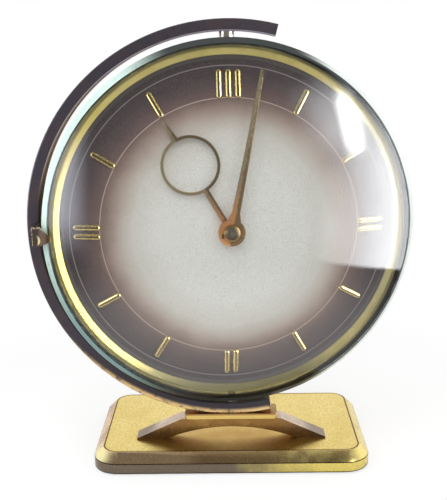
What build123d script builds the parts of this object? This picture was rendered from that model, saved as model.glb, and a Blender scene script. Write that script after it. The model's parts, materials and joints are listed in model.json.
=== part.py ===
"""Swivelling table clock: round case between two pivots in a C-shaped arm, on a bridge and a brass base.

Millimetres, Z up, front towards -Y. The origin is on the swivel axis, at the underside of the felt.
"""

from math import atan2, cos, degrees, hypot, radians, sin, sqrt
import os

from build123d import *

os.makedirs("parts", exist_ok=True)

# Base
base_width = 112.0
base_depth = 64.0
base_setback = 12.8
base_corner = 10.3
base_bevel = 3.6
base_wall = 1.6
plinth_height = 4.2
felt_thickness = 0.6
felt_inset = 1.0
ballast_gap = 0.4
ballast_height = 4.0

# Bridge and plate
bridge_depth = 7.2
bridge_forward = 1.0
bridge_half_span = 39.0
bridge_half_top = 20.5
bridge_height = 9.0
bridge_toe = 0.5
arch_half_span = 27.5
arch_rise = 5.5
plate_width = 37.9
plate_depth = 10.0
plate_height = 2.2
plate_corner = 1.0

# Arm
arm_clearance = 2.4
arm_thickness = 4.6
arm_depth = 8.0
arm_chamfer = 0.4
arm_top_end = 14.1
arm_bottom_end = 12.3
seat_flat = 0.3

# Pivots and stop
pivot_radius = 1.5
pivot_inset = 0.2
bush_radius = 2.5
collar_radius = 2.9
collar_gap = 0.3
stop_height = 7.5
stop_drop = 3.9
stop_margin = 1.6
stop_clearance = 0.7
stop_web_length = 5.0
stop_web_thickness = 2.3
stop_face_width = 1.3
stop_overlap = 1.4
stop_gap = 0.4
stop_nose_thickness = 1.0
stop_nose_height = 1.4
stop_nose_drop = 1.6
stop_slope_depth = 1.0
stop_corner_depth = 4.5
stop_crown_width = 2.2
stop_crown_bevel = 2.2
stop_bottom_bevel = 1.0

# Screws
screw_radius = 1.2
screw_head_radius = 1.9
screw_head_height = 1.3
foot_screw_offset = 31.0
foot_screw_reach = 2.2
foot_screw_room = 3.5
arm_screw_offset = 4.5
arm_screw_reach = 2.8
arm_screw_grip = 1.8
small_screw_radius = 0.9
small_head_radius = 1.7
small_head_height = 0.8
small_screw_reach = 3.0
stop_screw_radius = 0.7
stop_screw_reach = 2.4

# Fits
seat_gap = 0.02
pivot_gap = 0.05

# Case
case_yaw = 5.0
case_radius = 71.6
case_wall = 1.7
case_front = 4.6
case_back = -15.0
case_edge = 0.6
front_ledge = 2.9
front_ledge_height = 0.65
rear_ledge = 6.4
rear_ledge_height = 1.2
cover_inset = 2.1
cover_thickness = 1.2
cover_screw_inset = 3.4
cover_screw_radius = 1.1
cover_head_radius = 2.0
cover_head_height = 1.0
cover_screw_reach = 0.8

# Glass, gasket and ring
gasket_height = 0.8
gasket_inset = 0.4
gasket_width = 2.8
crystal_overhang = 0.3
crystal_land_width = 3.7
crystal_edge = 1.0
crystal_bevel = 2.1
crystal_bevel_height = 1.8
crystal_outer_apex = 24.0
crystal_inner_apex = 19.5
ring_gap = 0.1
ring_width = 2.7
ring_inner_lip = 0.5
ring_outer_lip = 2.0
ring_flat = 0.6
tab_width = 2.4
tab_length = 1.1
tab_height = 0.4
tab_gap = 0.2

# Dial and bars
dial_apex = 10.9
dial_sink = 1.67
dial_thickness = 0.8
dial_margin_width = 1.6
dial_gap = 0.1
dial_hole = 3.4
bar_length = 10.9
bar_width = 2.4
bar_inset = 9.0
bar_lift = 0.02
bar_twelve_offset = 3.6
bar_quarter_offset = 1.8

# Hands
hour_angle = 329.5
hour_tip_inset = 15.7
hour_ring_middle = 29.6
hour_ring_radius = 11.2
hour_ring_width = 1.1
hour_arm_width = 2.1
hour_spike_width = 2.8
hour_spike_point = 0.5
hour_hub = 5.0
hour_hand_lift = 1.2
hour_hand_thickness = 0.8
minute_angle = 11.9
minute_tip_inset = 2.7
minute_width = 3.3
minute_point = 1.4
minute_hub = 5.2
minute_flare_width = 5.4
minute_flare_start = 4.2
minute_flare_end = 7.6
minute_hand_lift = 2.9
minute_hand_thickness = 0.7
boss_radius = 3.1
boss_rim = 0.6
boss_height = 1.2
nut_radius = 2.425
nut_seat = 0.7
nut_height = 1.0
nut_edge = 0.4

# Movement plates
movement_radius = 34.0
movement_plate = 1.2
front_plate_back = 1.8
back_plate_front = -10.0
pillar_circle = 31.5
pillar_radius = 1.6
pillar_angles = (20, 100, 175, 275)
foot_circle = 29.0
foot_radius = 1.5
foot_spigot = 0.9
foot_angles = (55, 140, 235)

# Gear teeth
dedendum = 1.2
wheel_addendum = 0.75
wheel_root = 0.5
wheel_tip = 0.2
pinion_addendum = 0.6
pinion_root = 0.5
pinion_tip = 0.3
wheel_thickness = 0.8
pinion_length = 1.6
spoke_share = 0.3
spoke_hole_share = 0.13

# Going train
arbor_radius = 0.6
shoulder_radius = 1.0
shoulder_length = 0.6
shoulder_play = 0.1
barrel_teeth = 60
barrel_module = 0.5
barrel_angle = 225
barrel_bottom = -8.8
barrel_flange = 1.5
barrel_drum = 13.5
barrel_drum_top = -1.8
barrel_wall = 0.8
spring_thickness = 0.3
spring_turns = 8
spring_margin = 0.2
centre_pinion_teeth = 10
centre_pinion_back = -9.3
centre_pinion_length = 2.5
centre_teeth = 48
centre_module = 0.45
centre_wheel_back = -1.1
centre_sleeve = 1.85
centre_sleeve_front = 0.9
third_angle = 60
third_pinion_teeth = 6
third_teeth = 45
third_module = 0.4
third_wheel_back = -4.4
fourth_angle = -20
fourth_pinion_teeth = 6
fourth_teeth = 48
fourth_module = 0.35
fourth_wheel_back = -7.0
escape_angle = -80
escape_pinion_teeth = 6
escape_teeth = 15
escape_radius = 5.0
escape_root = 3.8
escape_wheel_back = -3.8
escape_lean = 6
pallet_angle = -100
pallet_distance = 6.8
pallet_circle = 6.2
pallet_spread = 35
pallet_hub = 1.4
pallet_arm_width = 1.2
pallet_tip_width = 1.0
fork_tail_width = 1.4
fork_thickness = 1.0
fork_back = -3.9
balance_angle = -120
balance_distance = 9.03
balance_radius = 8.0
balance_rim = 1.2
balance_back = -7.2
balance_arm = 1.6
roller_radius = 1.5
roller_gap = 0.6
hairspring_back = -8.9
hairspring_height = 0.6
hairspring_inner = 1.4
hairspring_outer = 4.4
hairspring_turns = 7
hairspring_thickness = 0.12
hairspring_stud_radius = 0.5

# Winding, regulator and setting
winding_radius = 2.0
winding_core = 3.5
winding_pivot = 1.2
winding_square = 2.6
winding_end = -26.0
square_start = -17.5
ratchet_teeth = 20
ratchet_radius = 6.5
ratchet_root = 5.7
ratchet_gap = 0.4
ratchet_lean = 2
ratchet_thickness = 1.0
click_angle = 200
click_distance = 9.3
click_nose_angle = 235
click_nose_gap = 0.2
click_radius = 1.8
click_tip = 0.8
click_width = 2.5
click_screw_radius = 0.8
key_hub = 3.2
key_back = -27.0
key_front = -18.0
key_width = 22.0
key_wing = 8.0
key_thickness = 2.2
key_square_gap = 0.03
key_hole = 3.0
regulator_post = 1.6
regulator_ring = 3.0
regulator_thickness = 0.8
regulator_tail = 10.0
regulator_tail_width = 2.4
regulator_pin = 0.8
regulator_end = -18.5
regulator_sweep = 56
regulator_slot = 2.6
knob_radius = 5.0
knob_front = -17.2
knob_length = 6.0
knob_grooves = 16
knob_groove_radius = 0.5
knob_hole = 2.0

# Motion work
centre_radius = 1.2
cannon_radius = 2.1
cannon_back = 3.2
cannon_teeth = 12
cannon_module = 0.5
cannon_tooth_back = 3.3
cannon_tooth_length = 1.2
minute_wheel_angle = 135
minute_wheel_teeth = 36
minute_wheel_back = 3.5
minute_pinion_teeth = 12
hour_wheel_teeth = 48
hour_wheel_back = 5.0
hour_module = cannon_module * (cannon_teeth + minute_wheel_teeth) / (minute_pinion_teeth + hour_wheel_teeth)
minute_pinion_front = 6.5
stud_radius = 0.8
stud_head = 1.6
stud_head_height = 0.6
hour_pipe = 3.0

# Levels and frames worked out from the sizes
base_top = felt_thickness + plinth_height + base_bevel
bridge_top = base_top + bridge_height
plate_top = bridge_top + plate_height
arm_inner = case_radius + arm_clearance
arm_outer = arm_inner + arm_thickness
axis_z = plate_top + arm_outer - seat_flat
case_inner = case_radius - case_wall
crystal_radius = case_radius + crystal_overhang
crystal_seat = crystal_radius - crystal_land_width
gasket_outer = case_radius - gasket_inset
gasket_inner = gasket_outer - gasket_width
ring_outer = gasket_inner - ring_gap
ring_inner = ring_outer - ring_width
tab_reach = ring_outer + tab_length
dial_radius = case_inner - dial_gap
dial_dome = ring_inner - dial_margin_width
cover_radius = case_radius - cover_inset
cover_screw_circle = case_inner - cover_screw_inset
bar_middle = dial_dome - bar_inset
hour_tip = dial_dome - hour_tip_inset
minute_tip = dial_dome - minute_tip_inset
case_right = Vector(cos(radians(case_yaw)), sin(radians(case_yaw)), 0)
case_forward = Vector(sin(radians(case_yaw)), -cos(radians(case_yaw)), 0)
dial_plane = Plane(origin=(0, 0, axis_z), x_dir=case_right, z_dir=case_forward)
dial_rim = case_front - dial_sink
dial_back_rim = dial_rim - dial_thickness
arm_plane = Plane(origin=(0, 0, axis_z), x_dir=(1, 0, 0), z_dir=(0, -1, 0))
base_plane = Plane(origin=(0, base_setback, 0))


def polar(radius, angle):
    """Point at a radius and an angle in degrees."""
    return (radius * cos(radians(angle)), radius * sin(radians(angle)))


def shift(point, distance, angle):
    """Point moved by a distance in a direction."""
    step = polar(distance, angle)
    return (point[0] + step[0], point[1] + step[1])


def cap_radius(rim_radius, rise):
    """Radius of the sphere through a rim and an apex."""
    return (rim_radius**2 + rise**2) / (2 * rise)


def cap_height(apex, sphere, radius):
    """Height of a spherical cap at a radius."""
    return apex - sphere + sqrt(sphere**2 - radius**2)


def cap_arc(apex, sphere, start, end):
    """Three points of the cap's section from one radius to another."""
    return [(radius, cap_height(apex, sphere, radius)) for radius in (start, (start + end) / 2, end)]


def level(height, point=(0, 0)):
    """Plane parallel to the dial at a height in front of the swivel axis, centred on a movement point."""
    place = dial_plane.from_local_coords((point[0], point[1], height))
    return Plane(origin=place, x_dir=case_right, z_dir=case_forward)


def section(point=(0, 0)):
    """Section plane through a movement point: x is the radius and y the height."""
    place = dial_plane.from_local_coords((point[0], point[1], 0))
    return Plane(origin=place, x_dir=case_right, z_dir=(0, 0, -1))


def spindle(point=(0, 0)):
    """Turning axis through a movement point."""
    return Axis(dial_plane.from_local_coords((point[0], point[1], 0)), case_forward)


def outline(points):
    """Closed face through points."""
    with BuildSketch() as face:
        with BuildLine():
            Polyline(*points, close=True)
        make_face()
    return face.sketch


def strip(start, end, start_width, end_width):
    """Straight bar between two points, with a width at each end."""
    along = Vector(end[0] - start[0], end[1] - start[1]).normalized()
    side = Vector(-along.Y, along.X)
    corners = []
    for point, width in ((start, start_width / 2), (end, end_width / 2)):
        corners.append((point[0] + side.X * width, point[1] + side.Y * width))
        corners.append((point[0] - side.X * width, point[1] - side.Y * width))
    return outline([corners[0], corners[1], corners[3], corners[2]])


def gear(teeth, module, addendum, root_share, tip_share, turn):
    """Gear face with straight-sided teeth; shares are tooth widths over the pitch."""
    root_radius = teeth * module / 2 - dedendum * module
    tip_radius = teeth * module / 2 + addendum * module
    pitch = 360 / teeth
    points = []
    for tooth in range(teeth):
        middle = turn + tooth * pitch
        points.append(polar(root_radius, middle - root_share * pitch / 2))
        points.append(polar(tip_radius, middle - tip_share * pitch / 2))
        points.append(polar(tip_radius, middle + tip_share * pitch / 2))
        points.append(polar(root_radius, middle + root_share * pitch / 2))
    return outline(points)


def wheel(teeth, module, turn):
    """Toothed wheel face."""
    return gear(teeth, module, wheel_addendum, wheel_root, wheel_tip, turn)


def pinion(teeth, module, turn):
    """Pinion face."""
    return gear(teeth, module, pinion_addendum, pinion_root, pinion_tip, turn)


def meshed(turn, teeth, direction, other_teeth):
    """Turn at which another gear, lying in a direction from the first, meshes with it."""
    share = (turn - direction) * teeth / 360
    return direction + 180 + (0.5 - share) * 360 / other_teeth


def saw(teeth, root_radius, tip_radius, lean):
    """Face with leaning teeth, for the ratchet and the escape wheel."""
    pitch = 360 / teeth
    points = []
    for tooth in range(teeth):
        points.append(polar(root_radius, tooth * pitch))
        points.append(polar(tip_radius, tooth * pitch + lean))
    return outline(points)


def spiral_strip(inner, outer, turns, thickness):
    """Face of a strip wound from an inner to an outer radius."""
    steps = turns * 12
    inside = []
    outside = []
    for step in range(steps + 1):
        radius = inner + (outer - inner) * step / steps
        inside.append(polar(radius - thickness / 2, step * 30))
        outside.append(polar(radius + thickness / 2, step * 30))
    with BuildSketch() as face:
        with BuildLine():
            Spline(*inside)
            Line(inside[-1], outside[-1])
            Spline(*reversed(outside))
            Line(outside[0], inside[0])
        make_face()
    return face.sketch


def arc_slot(radius, middle, sweep, width):
    """Curved slot about the local origin."""
    with BuildLine() as path:
        CenterArc((0, 0), radius, middle - sweep / 2, sweep)
    with BuildSketch() as face:
        SlotArc(path.wire(), width)
    return face.sketch


def arbor(front, back):
    """Section of a train arbor with a shoulder behind each plate."""
    near = back_plate_front + shoulder_play
    far = front_plate_back - shoulder_play
    return outline(
        [
            (0, back),
            (arbor_radius, back),
            (arbor_radius, near),
            (shoulder_radius, near),
            (shoulder_radius, near + shoulder_length),
            (arbor_radius, near + shoulder_length),
            (arbor_radius, far - shoulder_length),
            (shoulder_radius, far - shoulder_length),
            (shoulder_radius, far),
            (arbor_radius, far),
            (arbor_radius, front),
            (0, front),
        ]
    )


def shell_section(sphere_apex, sphere, thickness, radius):
    """Section of a spherical shell from its apex out to a radius."""
    with BuildSketch() as face:
        with BuildLine():
            low = cap_arc(sphere_apex, sphere, 0, radius)
            high = cap_arc(sphere_apex + thickness, sphere + thickness, radius, 0)
            ThreePointArc(*low)
            Line(low[2], high[0])
            ThreePointArc(*high)
            Line(high[2], low[0])
        make_face()
    return face.sketch


def bar(angle, offset):
    """One half-round bar lying on the dial at a clock angle, moved sideways by an offset."""
    radial = (sin(radians(angle)), cos(radians(angle)))
    x = bar_middle * radial[0] + offset * radial[1]
    y = bar_middle * radial[1] - offset * radial[0]
    height = cap_height(dial_apex, dial_sphere, hypot(x, y))
    normal = Vector(x, y, height - dial_apex + dial_sphere).normalized()
    foot = Vector(x, y, height) + normal * bar_lift
    along = Vector(radial[0], radial[1], 0)
    along = (along - normal * along.dot(normal)).normalized()
    origin = dial_plane.from_local_coords(foot)
    x_dir = dial_plane.from_local_coords(foot + along) - origin
    z_dir = dial_plane.from_local_coords(foot + normal) - origin
    plane = Plane(origin=origin, x_dir=x_dir, z_dir=z_dir)
    half = bar_length / 2
    round_radius = bar_width / 2
    bend = round_radius * sqrt(0.5)
    with BuildPart() as body:
        with BuildSketch(plane):
            with BuildLine():
                Line((-half, 0), (half, 0))
                ThreePointArc(
                    (half, 0), (half - round_radius + bend, bend), (half - round_radius, round_radius)
                )
                Line((half - round_radius, round_radius), (round_radius - half, round_radius))
                ThreePointArc(
                    (round_radius - half, round_radius), (round_radius - half - bend, bend), (-half, 0)
                )
            make_face()
        revolve(axis=Axis(plane.origin, plane.x_dir), revolution_arc=180)
    return body.part


def save(body, name):
    """Name a finished body and write its STEP file."""
    body.part.label = name
    export_step(body.part, f"parts/{name}.step")


# Movement points and tooth phases
barrel_at = polar(barrel_module * (barrel_teeth + centre_pinion_teeth) / 2, barrel_angle)
third_at = polar(centre_module * (centre_teeth + third_pinion_teeth) / 2, third_angle)
fourth_at = shift(third_at, third_module * (third_teeth + fourth_pinion_teeth) / 2, fourth_angle)
escape_at = shift(fourth_at, fourth_module * (fourth_teeth + escape_pinion_teeth) / 2, escape_angle)
pallet_at = shift(escape_at, pallet_distance, pallet_angle)
balance_at = shift(pallet_at, balance_distance, balance_angle)
minute_at = polar(cannon_module * (cannon_teeth + minute_wheel_teeth) / 2, minute_wheel_angle)
click_at = shift(barrel_at, click_distance, click_angle)
regulator_direction = degrees(atan2(balance_at[1], balance_at[0]))
centre_pinion_turn = meshed(0, barrel_teeth, barrel_angle + 180, centre_pinion_teeth)
third_pinion_turn = meshed(0, centre_teeth, third_angle, third_pinion_teeth)
fourth_pinion_turn = meshed(0, third_teeth, fourth_angle, fourth_pinion_teeth)
escape_pinion_turn = meshed(0, fourth_teeth, escape_angle, escape_pinion_teeth)
minute_wheel_turn = meshed(0, cannon_teeth, minute_wheel_angle, minute_wheel_teeth)
hour_wheel_turn = meshed(0, minute_pinion_teeth, minute_wheel_angle + 180, hour_wheel_teeth)
front_plate_front = front_plate_back + movement_plate
back_plate_back = back_plate_front - movement_plate
cover_back = case_back - cover_thickness
pillar_points = [polar(pillar_circle, angle) for angle in pillar_angles]
foot_points = [polar(foot_circle, angle) for angle in foot_angles]
train_points = [third_at, fourth_at, escape_at, pallet_at, balance_at]
cover_points = [polar(cover_screw_circle, 45 + 90 * corner) for corner in range(4)]
hairspring_stud_at = shift(
    balance_at, hairspring_outer + hairspring_thickness / 2 + hairspring_stud_radius + seat_gap, 0
)
crystal_back = case_front + gasket_height
crystal_shoulder = crystal_back + crystal_edge
crystal_dome_rim = crystal_radius - crystal_bevel
crystal_dome_foot = crystal_shoulder + crystal_bevel_height
crystal_outer_sphere = cap_radius(crystal_dome_rim, crystal_outer_apex - crystal_dome_foot)
crystal_inner_sphere = cap_radius(crystal_seat, crystal_inner_apex - crystal_back)
dial_sphere = cap_radius(dial_dome, dial_apex - dial_rim)
hour_hand_back = dial_apex + hour_hand_lift
minute_hand_back = dial_apex + minute_hand_lift
boss_back = minute_hand_back + minute_hand_thickness
boss_front = boss_back + boss_height
nut_back = boss_front - nut_seat

# Base shell
with BuildPart() as base_shell:
    with BuildSketch(base_plane.offset(felt_thickness)):
        RectangleRounded(base_width, base_depth, base_corner)
    extrude(amount=plinth_height + base_bevel)
    chamfer(base_shell.faces().sort_by(Axis.Z)[-1].edges(), length=base_bevel)
    cavity_inset = base_bevel + base_wall
    with BuildSketch(base_plane.offset(felt_thickness)):
        RectangleRounded(
            base_width - 2 * cavity_inset, base_depth - 2 * cavity_inset, base_corner - base_bevel
        )
    extrude(amount=plinth_height + base_bevel - base_wall, mode=Mode.SUBTRACT)
    with BuildSketch(Plane.XY):
        with Locations((-foot_screw_offset, 0), (foot_screw_offset, 0)):
            Circle(screw_radius + seat_gap)
    extrude(amount=base_top, mode=Mode.SUBTRACT)
save(base_shell, "base_shell")

# Ballast under the top of the shell
with BuildPart() as base_weight:
    ballast_inset = cavity_inset + ballast_gap
    with BuildSketch(base_plane.offset(base_top - base_wall - ballast_height)):
        RectangleRounded(
            base_width - 2 * ballast_inset, base_depth - 2 * ballast_inset, base_corner - base_bevel
        )
    extrude(amount=ballast_height)
    with BuildSketch(Plane.XY):
        with Locations((-foot_screw_offset, 0), (foot_screw_offset, 0)):
            Circle(foot_screw_room)
    extrude(amount=base_top, mode=Mode.SUBTRACT)
save(base_weight, "base_weight")

# Felt
with BuildPart() as base_felt:
    with BuildSketch(base_plane):
        RectangleRounded(base_width - 2 * felt_inset, base_depth - 2 * felt_inset, base_corner - felt_inset)
    extrude(amount=felt_thickness)
save(base_felt, "base_felt")

# Bridge foot
with BuildPart() as bridge_foot:
    with BuildSketch(Plane.XZ.offset(bridge_forward)):
        with BuildLine():
            Polyline(
                (arch_half_span, base_top),
                (bridge_half_span, base_top),
                (bridge_half_span, base_top + bridge_toe),
                (bridge_half_top, bridge_top),
                (-bridge_half_top, bridge_top),
                (-bridge_half_span, base_top + bridge_toe),
                (-bridge_half_span, base_top),
                (-arch_half_span, base_top),
            )
            ThreePointArc((-arch_half_span, base_top), (0, base_top + arch_rise), (arch_half_span, base_top))
        make_face()
    extrude(amount=bridge_depth / 2, both=True)
    with BuildSketch(Plane.XY.offset(base_top)):
        with Locations((-foot_screw_offset, 0), (foot_screw_offset, 0)):
            Circle(screw_radius + seat_gap)
    extrude(amount=foot_screw_reach + seat_gap, mode=Mode.SUBTRACT)
    with BuildSketch(Plane.XY.offset(base_top)):
        with Locations((-arm_screw_offset, 0), (arm_screw_offset, 0)):
            Circle(screw_radius + seat_gap)
    extrude(amount=bridge_height, mode=Mode.SUBTRACT)
    with BuildSketch(Plane.XY.offset(base_top)):
        with Locations((-arm_screw_offset, 0), (arm_screw_offset, 0)):
            Circle(screw_head_radius + seat_gap)
    extrude(amount=bridge_height - arm_screw_grip, mode=Mode.SUBTRACT)
save(bridge_foot, "bridge_foot")

# Screws from inside the base into the legs of the bridge
with BuildPart() as foot_screws:
    with BuildSketch(Plane.XY.offset(base_top - base_wall)):
        with Locations((-foot_screw_offset, 0), (foot_screw_offset, 0)):
            Circle(screw_head_radius)
    extrude(amount=-screw_head_height)
    with BuildSketch(Plane.XY.offset(base_top - base_wall)):
        with Locations((-foot_screw_offset, 0), (foot_screw_offset, 0)):
            Circle(screw_radius)
    extrude(amount=base_wall + foot_screw_reach)
save(foot_screws, "foot_screws")

# Seat plate
with BuildPart() as seat_plate:
    with BuildSketch(Plane.XY.offset(bridge_top)):
        RectangleRounded(plate_width, plate_depth, plate_corner)
        with Locations((-arm_screw_offset, 0), (arm_screw_offset, 0)):
            Circle(screw_radius + seat_gap, mode=Mode.SUBTRACT)
    extrude(amount=plate_height)
save(seat_plate, "seat_plate")

# Screws from under the bridge into the arm
with BuildPart() as arm_screws:
    with BuildSketch(Plane.XY.offset(bridge_top - arm_screw_grip)):
        with Locations((-arm_screw_offset, 0), (arm_screw_offset, 0)):
            Circle(screw_head_radius)
    extrude(amount=-screw_head_height)
    with BuildSketch(Plane.XY.offset(bridge_top - arm_screw_grip)):
        with Locations((-arm_screw_offset, 0), (arm_screw_offset, 0)):
            Circle(screw_radius)
    extrude(amount=arm_screw_grip + plate_height + arm_screw_reach)
save(arm_screws, "arm_screws")

# Meridian arm
stop_left = stop_margin - arm_outer
stop_screw_x = -(arm_outer + arm_inner) / 2
with BuildPart() as meridian_arm:
    with BuildSketch(arm_plane):
        Circle(arm_outer)
        Circle(arm_inner, mode=Mode.SUBTRACT)
        far = 2 * arm_outer
        add(
            outline(
                [
                    (0, 0),
                    polar(far, 90 - arm_top_end),
                    (far, far),
                    (far, -far),
                    polar(far, arm_bottom_end - 90),
                ]
            ),
            mode=Mode.SUBTRACT,
        )
    extrude(amount=arm_depth / 2, both=True)
    chamfer(meridian_arm.edges().filter_by(GeomType.CIRCLE), length=arm_chamfer)
    with BuildSketch(Plane.XY.offset(plate_top)):
        Rectangle(base_width, base_depth)
    extrude(amount=-arm_thickness, mode=Mode.SUBTRACT)
    with BuildSketch(Plane.XY):
        Circle(pivot_radius + seat_gap)
    extrude(amount=axis_z + arm_outer, mode=Mode.SUBTRACT)
    with BuildSketch(Plane.XY.offset(plate_top)):
        with Locations((-arm_screw_offset, 0), (arm_screw_offset, 0)):
            Circle(screw_radius + seat_gap)
    extrude(amount=arm_screw_reach + seat_gap, mode=Mode.SUBTRACT)
    with BuildSketch(arm_plane):
        with Locations((stop_screw_x, 0)):
            Circle(stop_screw_radius + seat_gap)
    extrude(amount=arm_depth, both=True, mode=Mode.SUBTRACT)
save(meridian_arm, "meridian_arm")

# Swivel stop in front of the left rim of the case
stop_reach = crystal_dome_rim - stop_overlap
rim_forward = cap_height(crystal_outer_apex, crystal_outer_sphere, stop_reach)
nose_x = rim_forward * sin(radians(case_yaw)) - stop_reach * cos(radians(case_yaw))
nose_back = -rim_forward * cos(radians(case_yaw)) - stop_reach * sin(radians(case_yaw)) - stop_gap
nose_front = nose_back - stop_nose_thickness
web_right = -crystal_radius - stop_clearance
web_left = web_right - stop_web_thickness
crown_right = web_right + stop_face_width
crown_left = crown_right - stop_crown_width
stop_top = stop_height - stop_drop
with BuildPart() as swivel_stop:
    with BuildSketch(Plane.XY.offset(axis_z - stop_drop)):
        add(
            outline(
                [
                    (stop_left, -arm_depth / 2),
                    (-arm_inner, -arm_depth / 2),
                    (web_right, -arm_depth / 2 - stop_web_length),
                    (web_right, nose_back),
                    (nose_x, nose_back),
                    (nose_x, nose_front),
                    (web_right - stop_face_width, nose_front - stop_slope_depth),
                    (web_left, nose_front - stop_slope_depth + stop_corner_depth),
                ]
            )
        )
    extrude(amount=stop_height)
    with BuildSketch(arm_plane):
        add(
            outline(
                [
                    (-arm_outer, stop_bottom_bevel - stop_drop),
                    (-arm_outer, stop_top - stop_crown_bevel),
                    (crown_left, stop_top),
                    (crown_right, stop_top),
                    (nose_x, stop_nose_height / 2 - stop_nose_drop),
                    (nose_x, -stop_nose_height / 2 - stop_nose_drop),
                    (crown_right, -stop_drop),
                    (crown_left, -stop_drop),
                ]
            )
        )
    extrude(amount=arm_outer, mode=Mode.INTERSECT)
    with BuildSketch(arm_plane.offset(arm_depth / 2)):
        with Locations((stop_screw_x, 0)):
            Circle(stop_screw_radius + seat_gap)
    extrude(amount=stop_screw_reach + seat_gap, mode=Mode.SUBTRACT)
save(swivel_stop, "swivel_stop")

# Screw from the back of the arm into the stop
with BuildPart() as stop_screw:
    with BuildSketch(arm_plane.offset(-arm_depth / 2)):
        with Locations((stop_screw_x, 0)):
            Circle(small_head_radius)
    extrude(amount=-small_head_height)
    with BuildSketch(arm_plane.offset(-arm_depth / 2)):
        with Locations((stop_screw_x, 0)):
            Circle(stop_screw_radius)
    extrude(amount=arm_depth + stop_screw_reach)
save(stop_screw, "stop_screw")

# Pivot pins
with BuildPart() as upper_pivot:
    with BuildSketch(Plane.XY.offset(axis_z + case_inner)):
        Circle(pivot_radius)
    extrude(amount=arm_outer - pivot_inset - case_inner)
save(upper_pivot, "upper_pivot")

with BuildPart() as lower_pivot:
    with BuildSketch(Plane.XY.offset(axis_z - case_inner)):
        Circle(pivot_radius)
    extrude(amount=-(axis_z - case_inner - plate_top - pivot_inset))
save(lower_pivot, "lower_pivot")

# Collars between arm and case
with BuildPart() as upper_collar:
    with BuildSketch(Plane.XY.offset(axis_z + case_radius + collar_gap)):
        Circle(collar_radius)
        Circle(pivot_radius + seat_gap, mode=Mode.SUBTRACT)
    extrude(amount=arm_inner - case_radius)
    with BuildSketch(arm_plane):
        Circle(arm_inner)
    extrude(amount=arm_depth, both=True, mode=Mode.INTERSECT)
save(upper_collar, "upper_collar")

with BuildPart() as lower_collar:
    with BuildSketch(Plane.XY.offset(axis_z - case_radius - collar_gap)):
        Circle(collar_radius)
        Circle(pivot_radius + seat_gap, mode=Mode.SUBTRACT)
    extrude(amount=case_radius - arm_inner)
    with BuildSketch(arm_plane):
        Circle(arm_inner)
    extrude(amount=arm_depth, both=True, mode=Mode.INTERSECT)
save(lower_collar, "lower_collar")

# Case band
with BuildPart() as case_band:
    with BuildSketch(section()):
        add(
            outline(
                [
                    (case_radius, case_back + case_edge),
                    (case_radius, case_front),
                    (case_inner, case_front),
                    (case_inner, dial_back_rim),
                    (case_inner - front_ledge, dial_back_rim),
                    (case_inner - front_ledge, dial_back_rim - front_ledge_height),
                    (case_inner, dial_back_rim - front_ledge_height),
                    (case_inner, case_back + rear_ledge_height),
                    (case_inner - rear_ledge, case_back + rear_ledge_height),
                    (case_inner - rear_ledge, case_back),
                    (case_radius - case_edge, case_back),
                ]
            )
        )
    revolve(axis=spindle())
    bush_start = sqrt(case_inner**2 - (bush_radius + seat_gap) ** 2)
    with BuildSketch(Plane.XY.offset(axis_z + bush_start)):
        Circle(bush_radius + seat_gap)
    extrude(amount=2 * case_wall, mode=Mode.SUBTRACT)
    with BuildSketch(Plane.XY.offset(axis_z - bush_start)):
        Circle(bush_radius + seat_gap)
    extrude(amount=-2 * case_wall, mode=Mode.SUBTRACT)
    with BuildSketch(level(case_back)):
        with Locations(*cover_points):
            Circle(cover_screw_radius + seat_gap)
    extrude(amount=rear_ledge_height, mode=Mode.SUBTRACT)
save(case_band, "case_band")

# Bushes in the band
with BuildPart() as upper_bush:
    with BuildSketch(Plane.XY.offset(axis_z)):
        Circle(bush_radius)
        Circle(pivot_radius + pivot_gap, mode=Mode.SUBTRACT)
    extrude(amount=arm_inner)
    with BuildSketch(dial_plane):
        Circle(case_radius)
        Circle(case_inner, mode=Mode.SUBTRACT)
    extrude(amount=2 * bush_radius, both=True, mode=Mode.INTERSECT)
save(upper_bush, "upper_bush")

with BuildPart() as lower_bush:
    with BuildSketch(Plane.XY.offset(axis_z)):
        Circle(bush_radius)
        Circle(pivot_radius + pivot_gap, mode=Mode.SUBTRACT)
    extrude(amount=-arm_inner)
    with BuildSketch(dial_plane):
        Circle(case_radius)
        Circle(case_inner, mode=Mode.SUBTRACT)
    extrude(amount=2 * bush_radius, both=True, mode=Mode.INTERSECT)
save(lower_bush, "lower_bush")

# Gasket under the glass, notched for the tab of the ring
with BuildPart() as crystal_gasket:
    with BuildSketch(level(case_front)):
        Circle(gasket_outer)
        Circle(gasket_inner, mode=Mode.SUBTRACT)
        with Locations((0, -(tab_reach + tab_gap) / 2)):
            Rectangle(tab_width + 2 * tab_gap, tab_reach + tab_gap, mode=Mode.SUBTRACT)
    extrude(amount=gasket_height)
save(crystal_gasket, "crystal_gasket")

# Domed glass with an open ground edge
with BuildPart() as crystal:
    with BuildSketch(section()):
        with BuildLine():
            outer_arc = cap_arc(crystal_outer_apex, crystal_outer_sphere, crystal_dome_rim, 0)
            inner_arc = cap_arc(crystal_inner_apex, crystal_inner_sphere, 0, crystal_seat)
            Polyline(
                inner_arc[2],
                (crystal_radius, crystal_back),
                (crystal_radius, crystal_shoulder),
                outer_arc[0],
            )
            ThreePointArc(*outer_arc)
            Line(outer_arc[2], inner_arc[0])
            ThreePointArc(*inner_arc)
        make_face()
    revolve(axis=spindle())
save(crystal, "crystal")

# Dial
with BuildPart() as dial:
    with BuildSketch(section()):
        with BuildLine():
            front_arc = cap_arc(dial_apex, dial_sphere, dial_hole, dial_dome)
            back_arc = cap_arc(dial_apex - dial_thickness, dial_sphere, dial_dome, dial_hole)
            ThreePointArc(*front_arc)
            Polyline(front_arc[2], (dial_radius, dial_rim), (dial_radius, dial_back_rim), back_arc[0])
            ThreePointArc(*back_arc)
            Line(back_arc[2], front_arc[0])
        make_face()
    revolve(axis=spindle())
save(dial, "dial")

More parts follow.
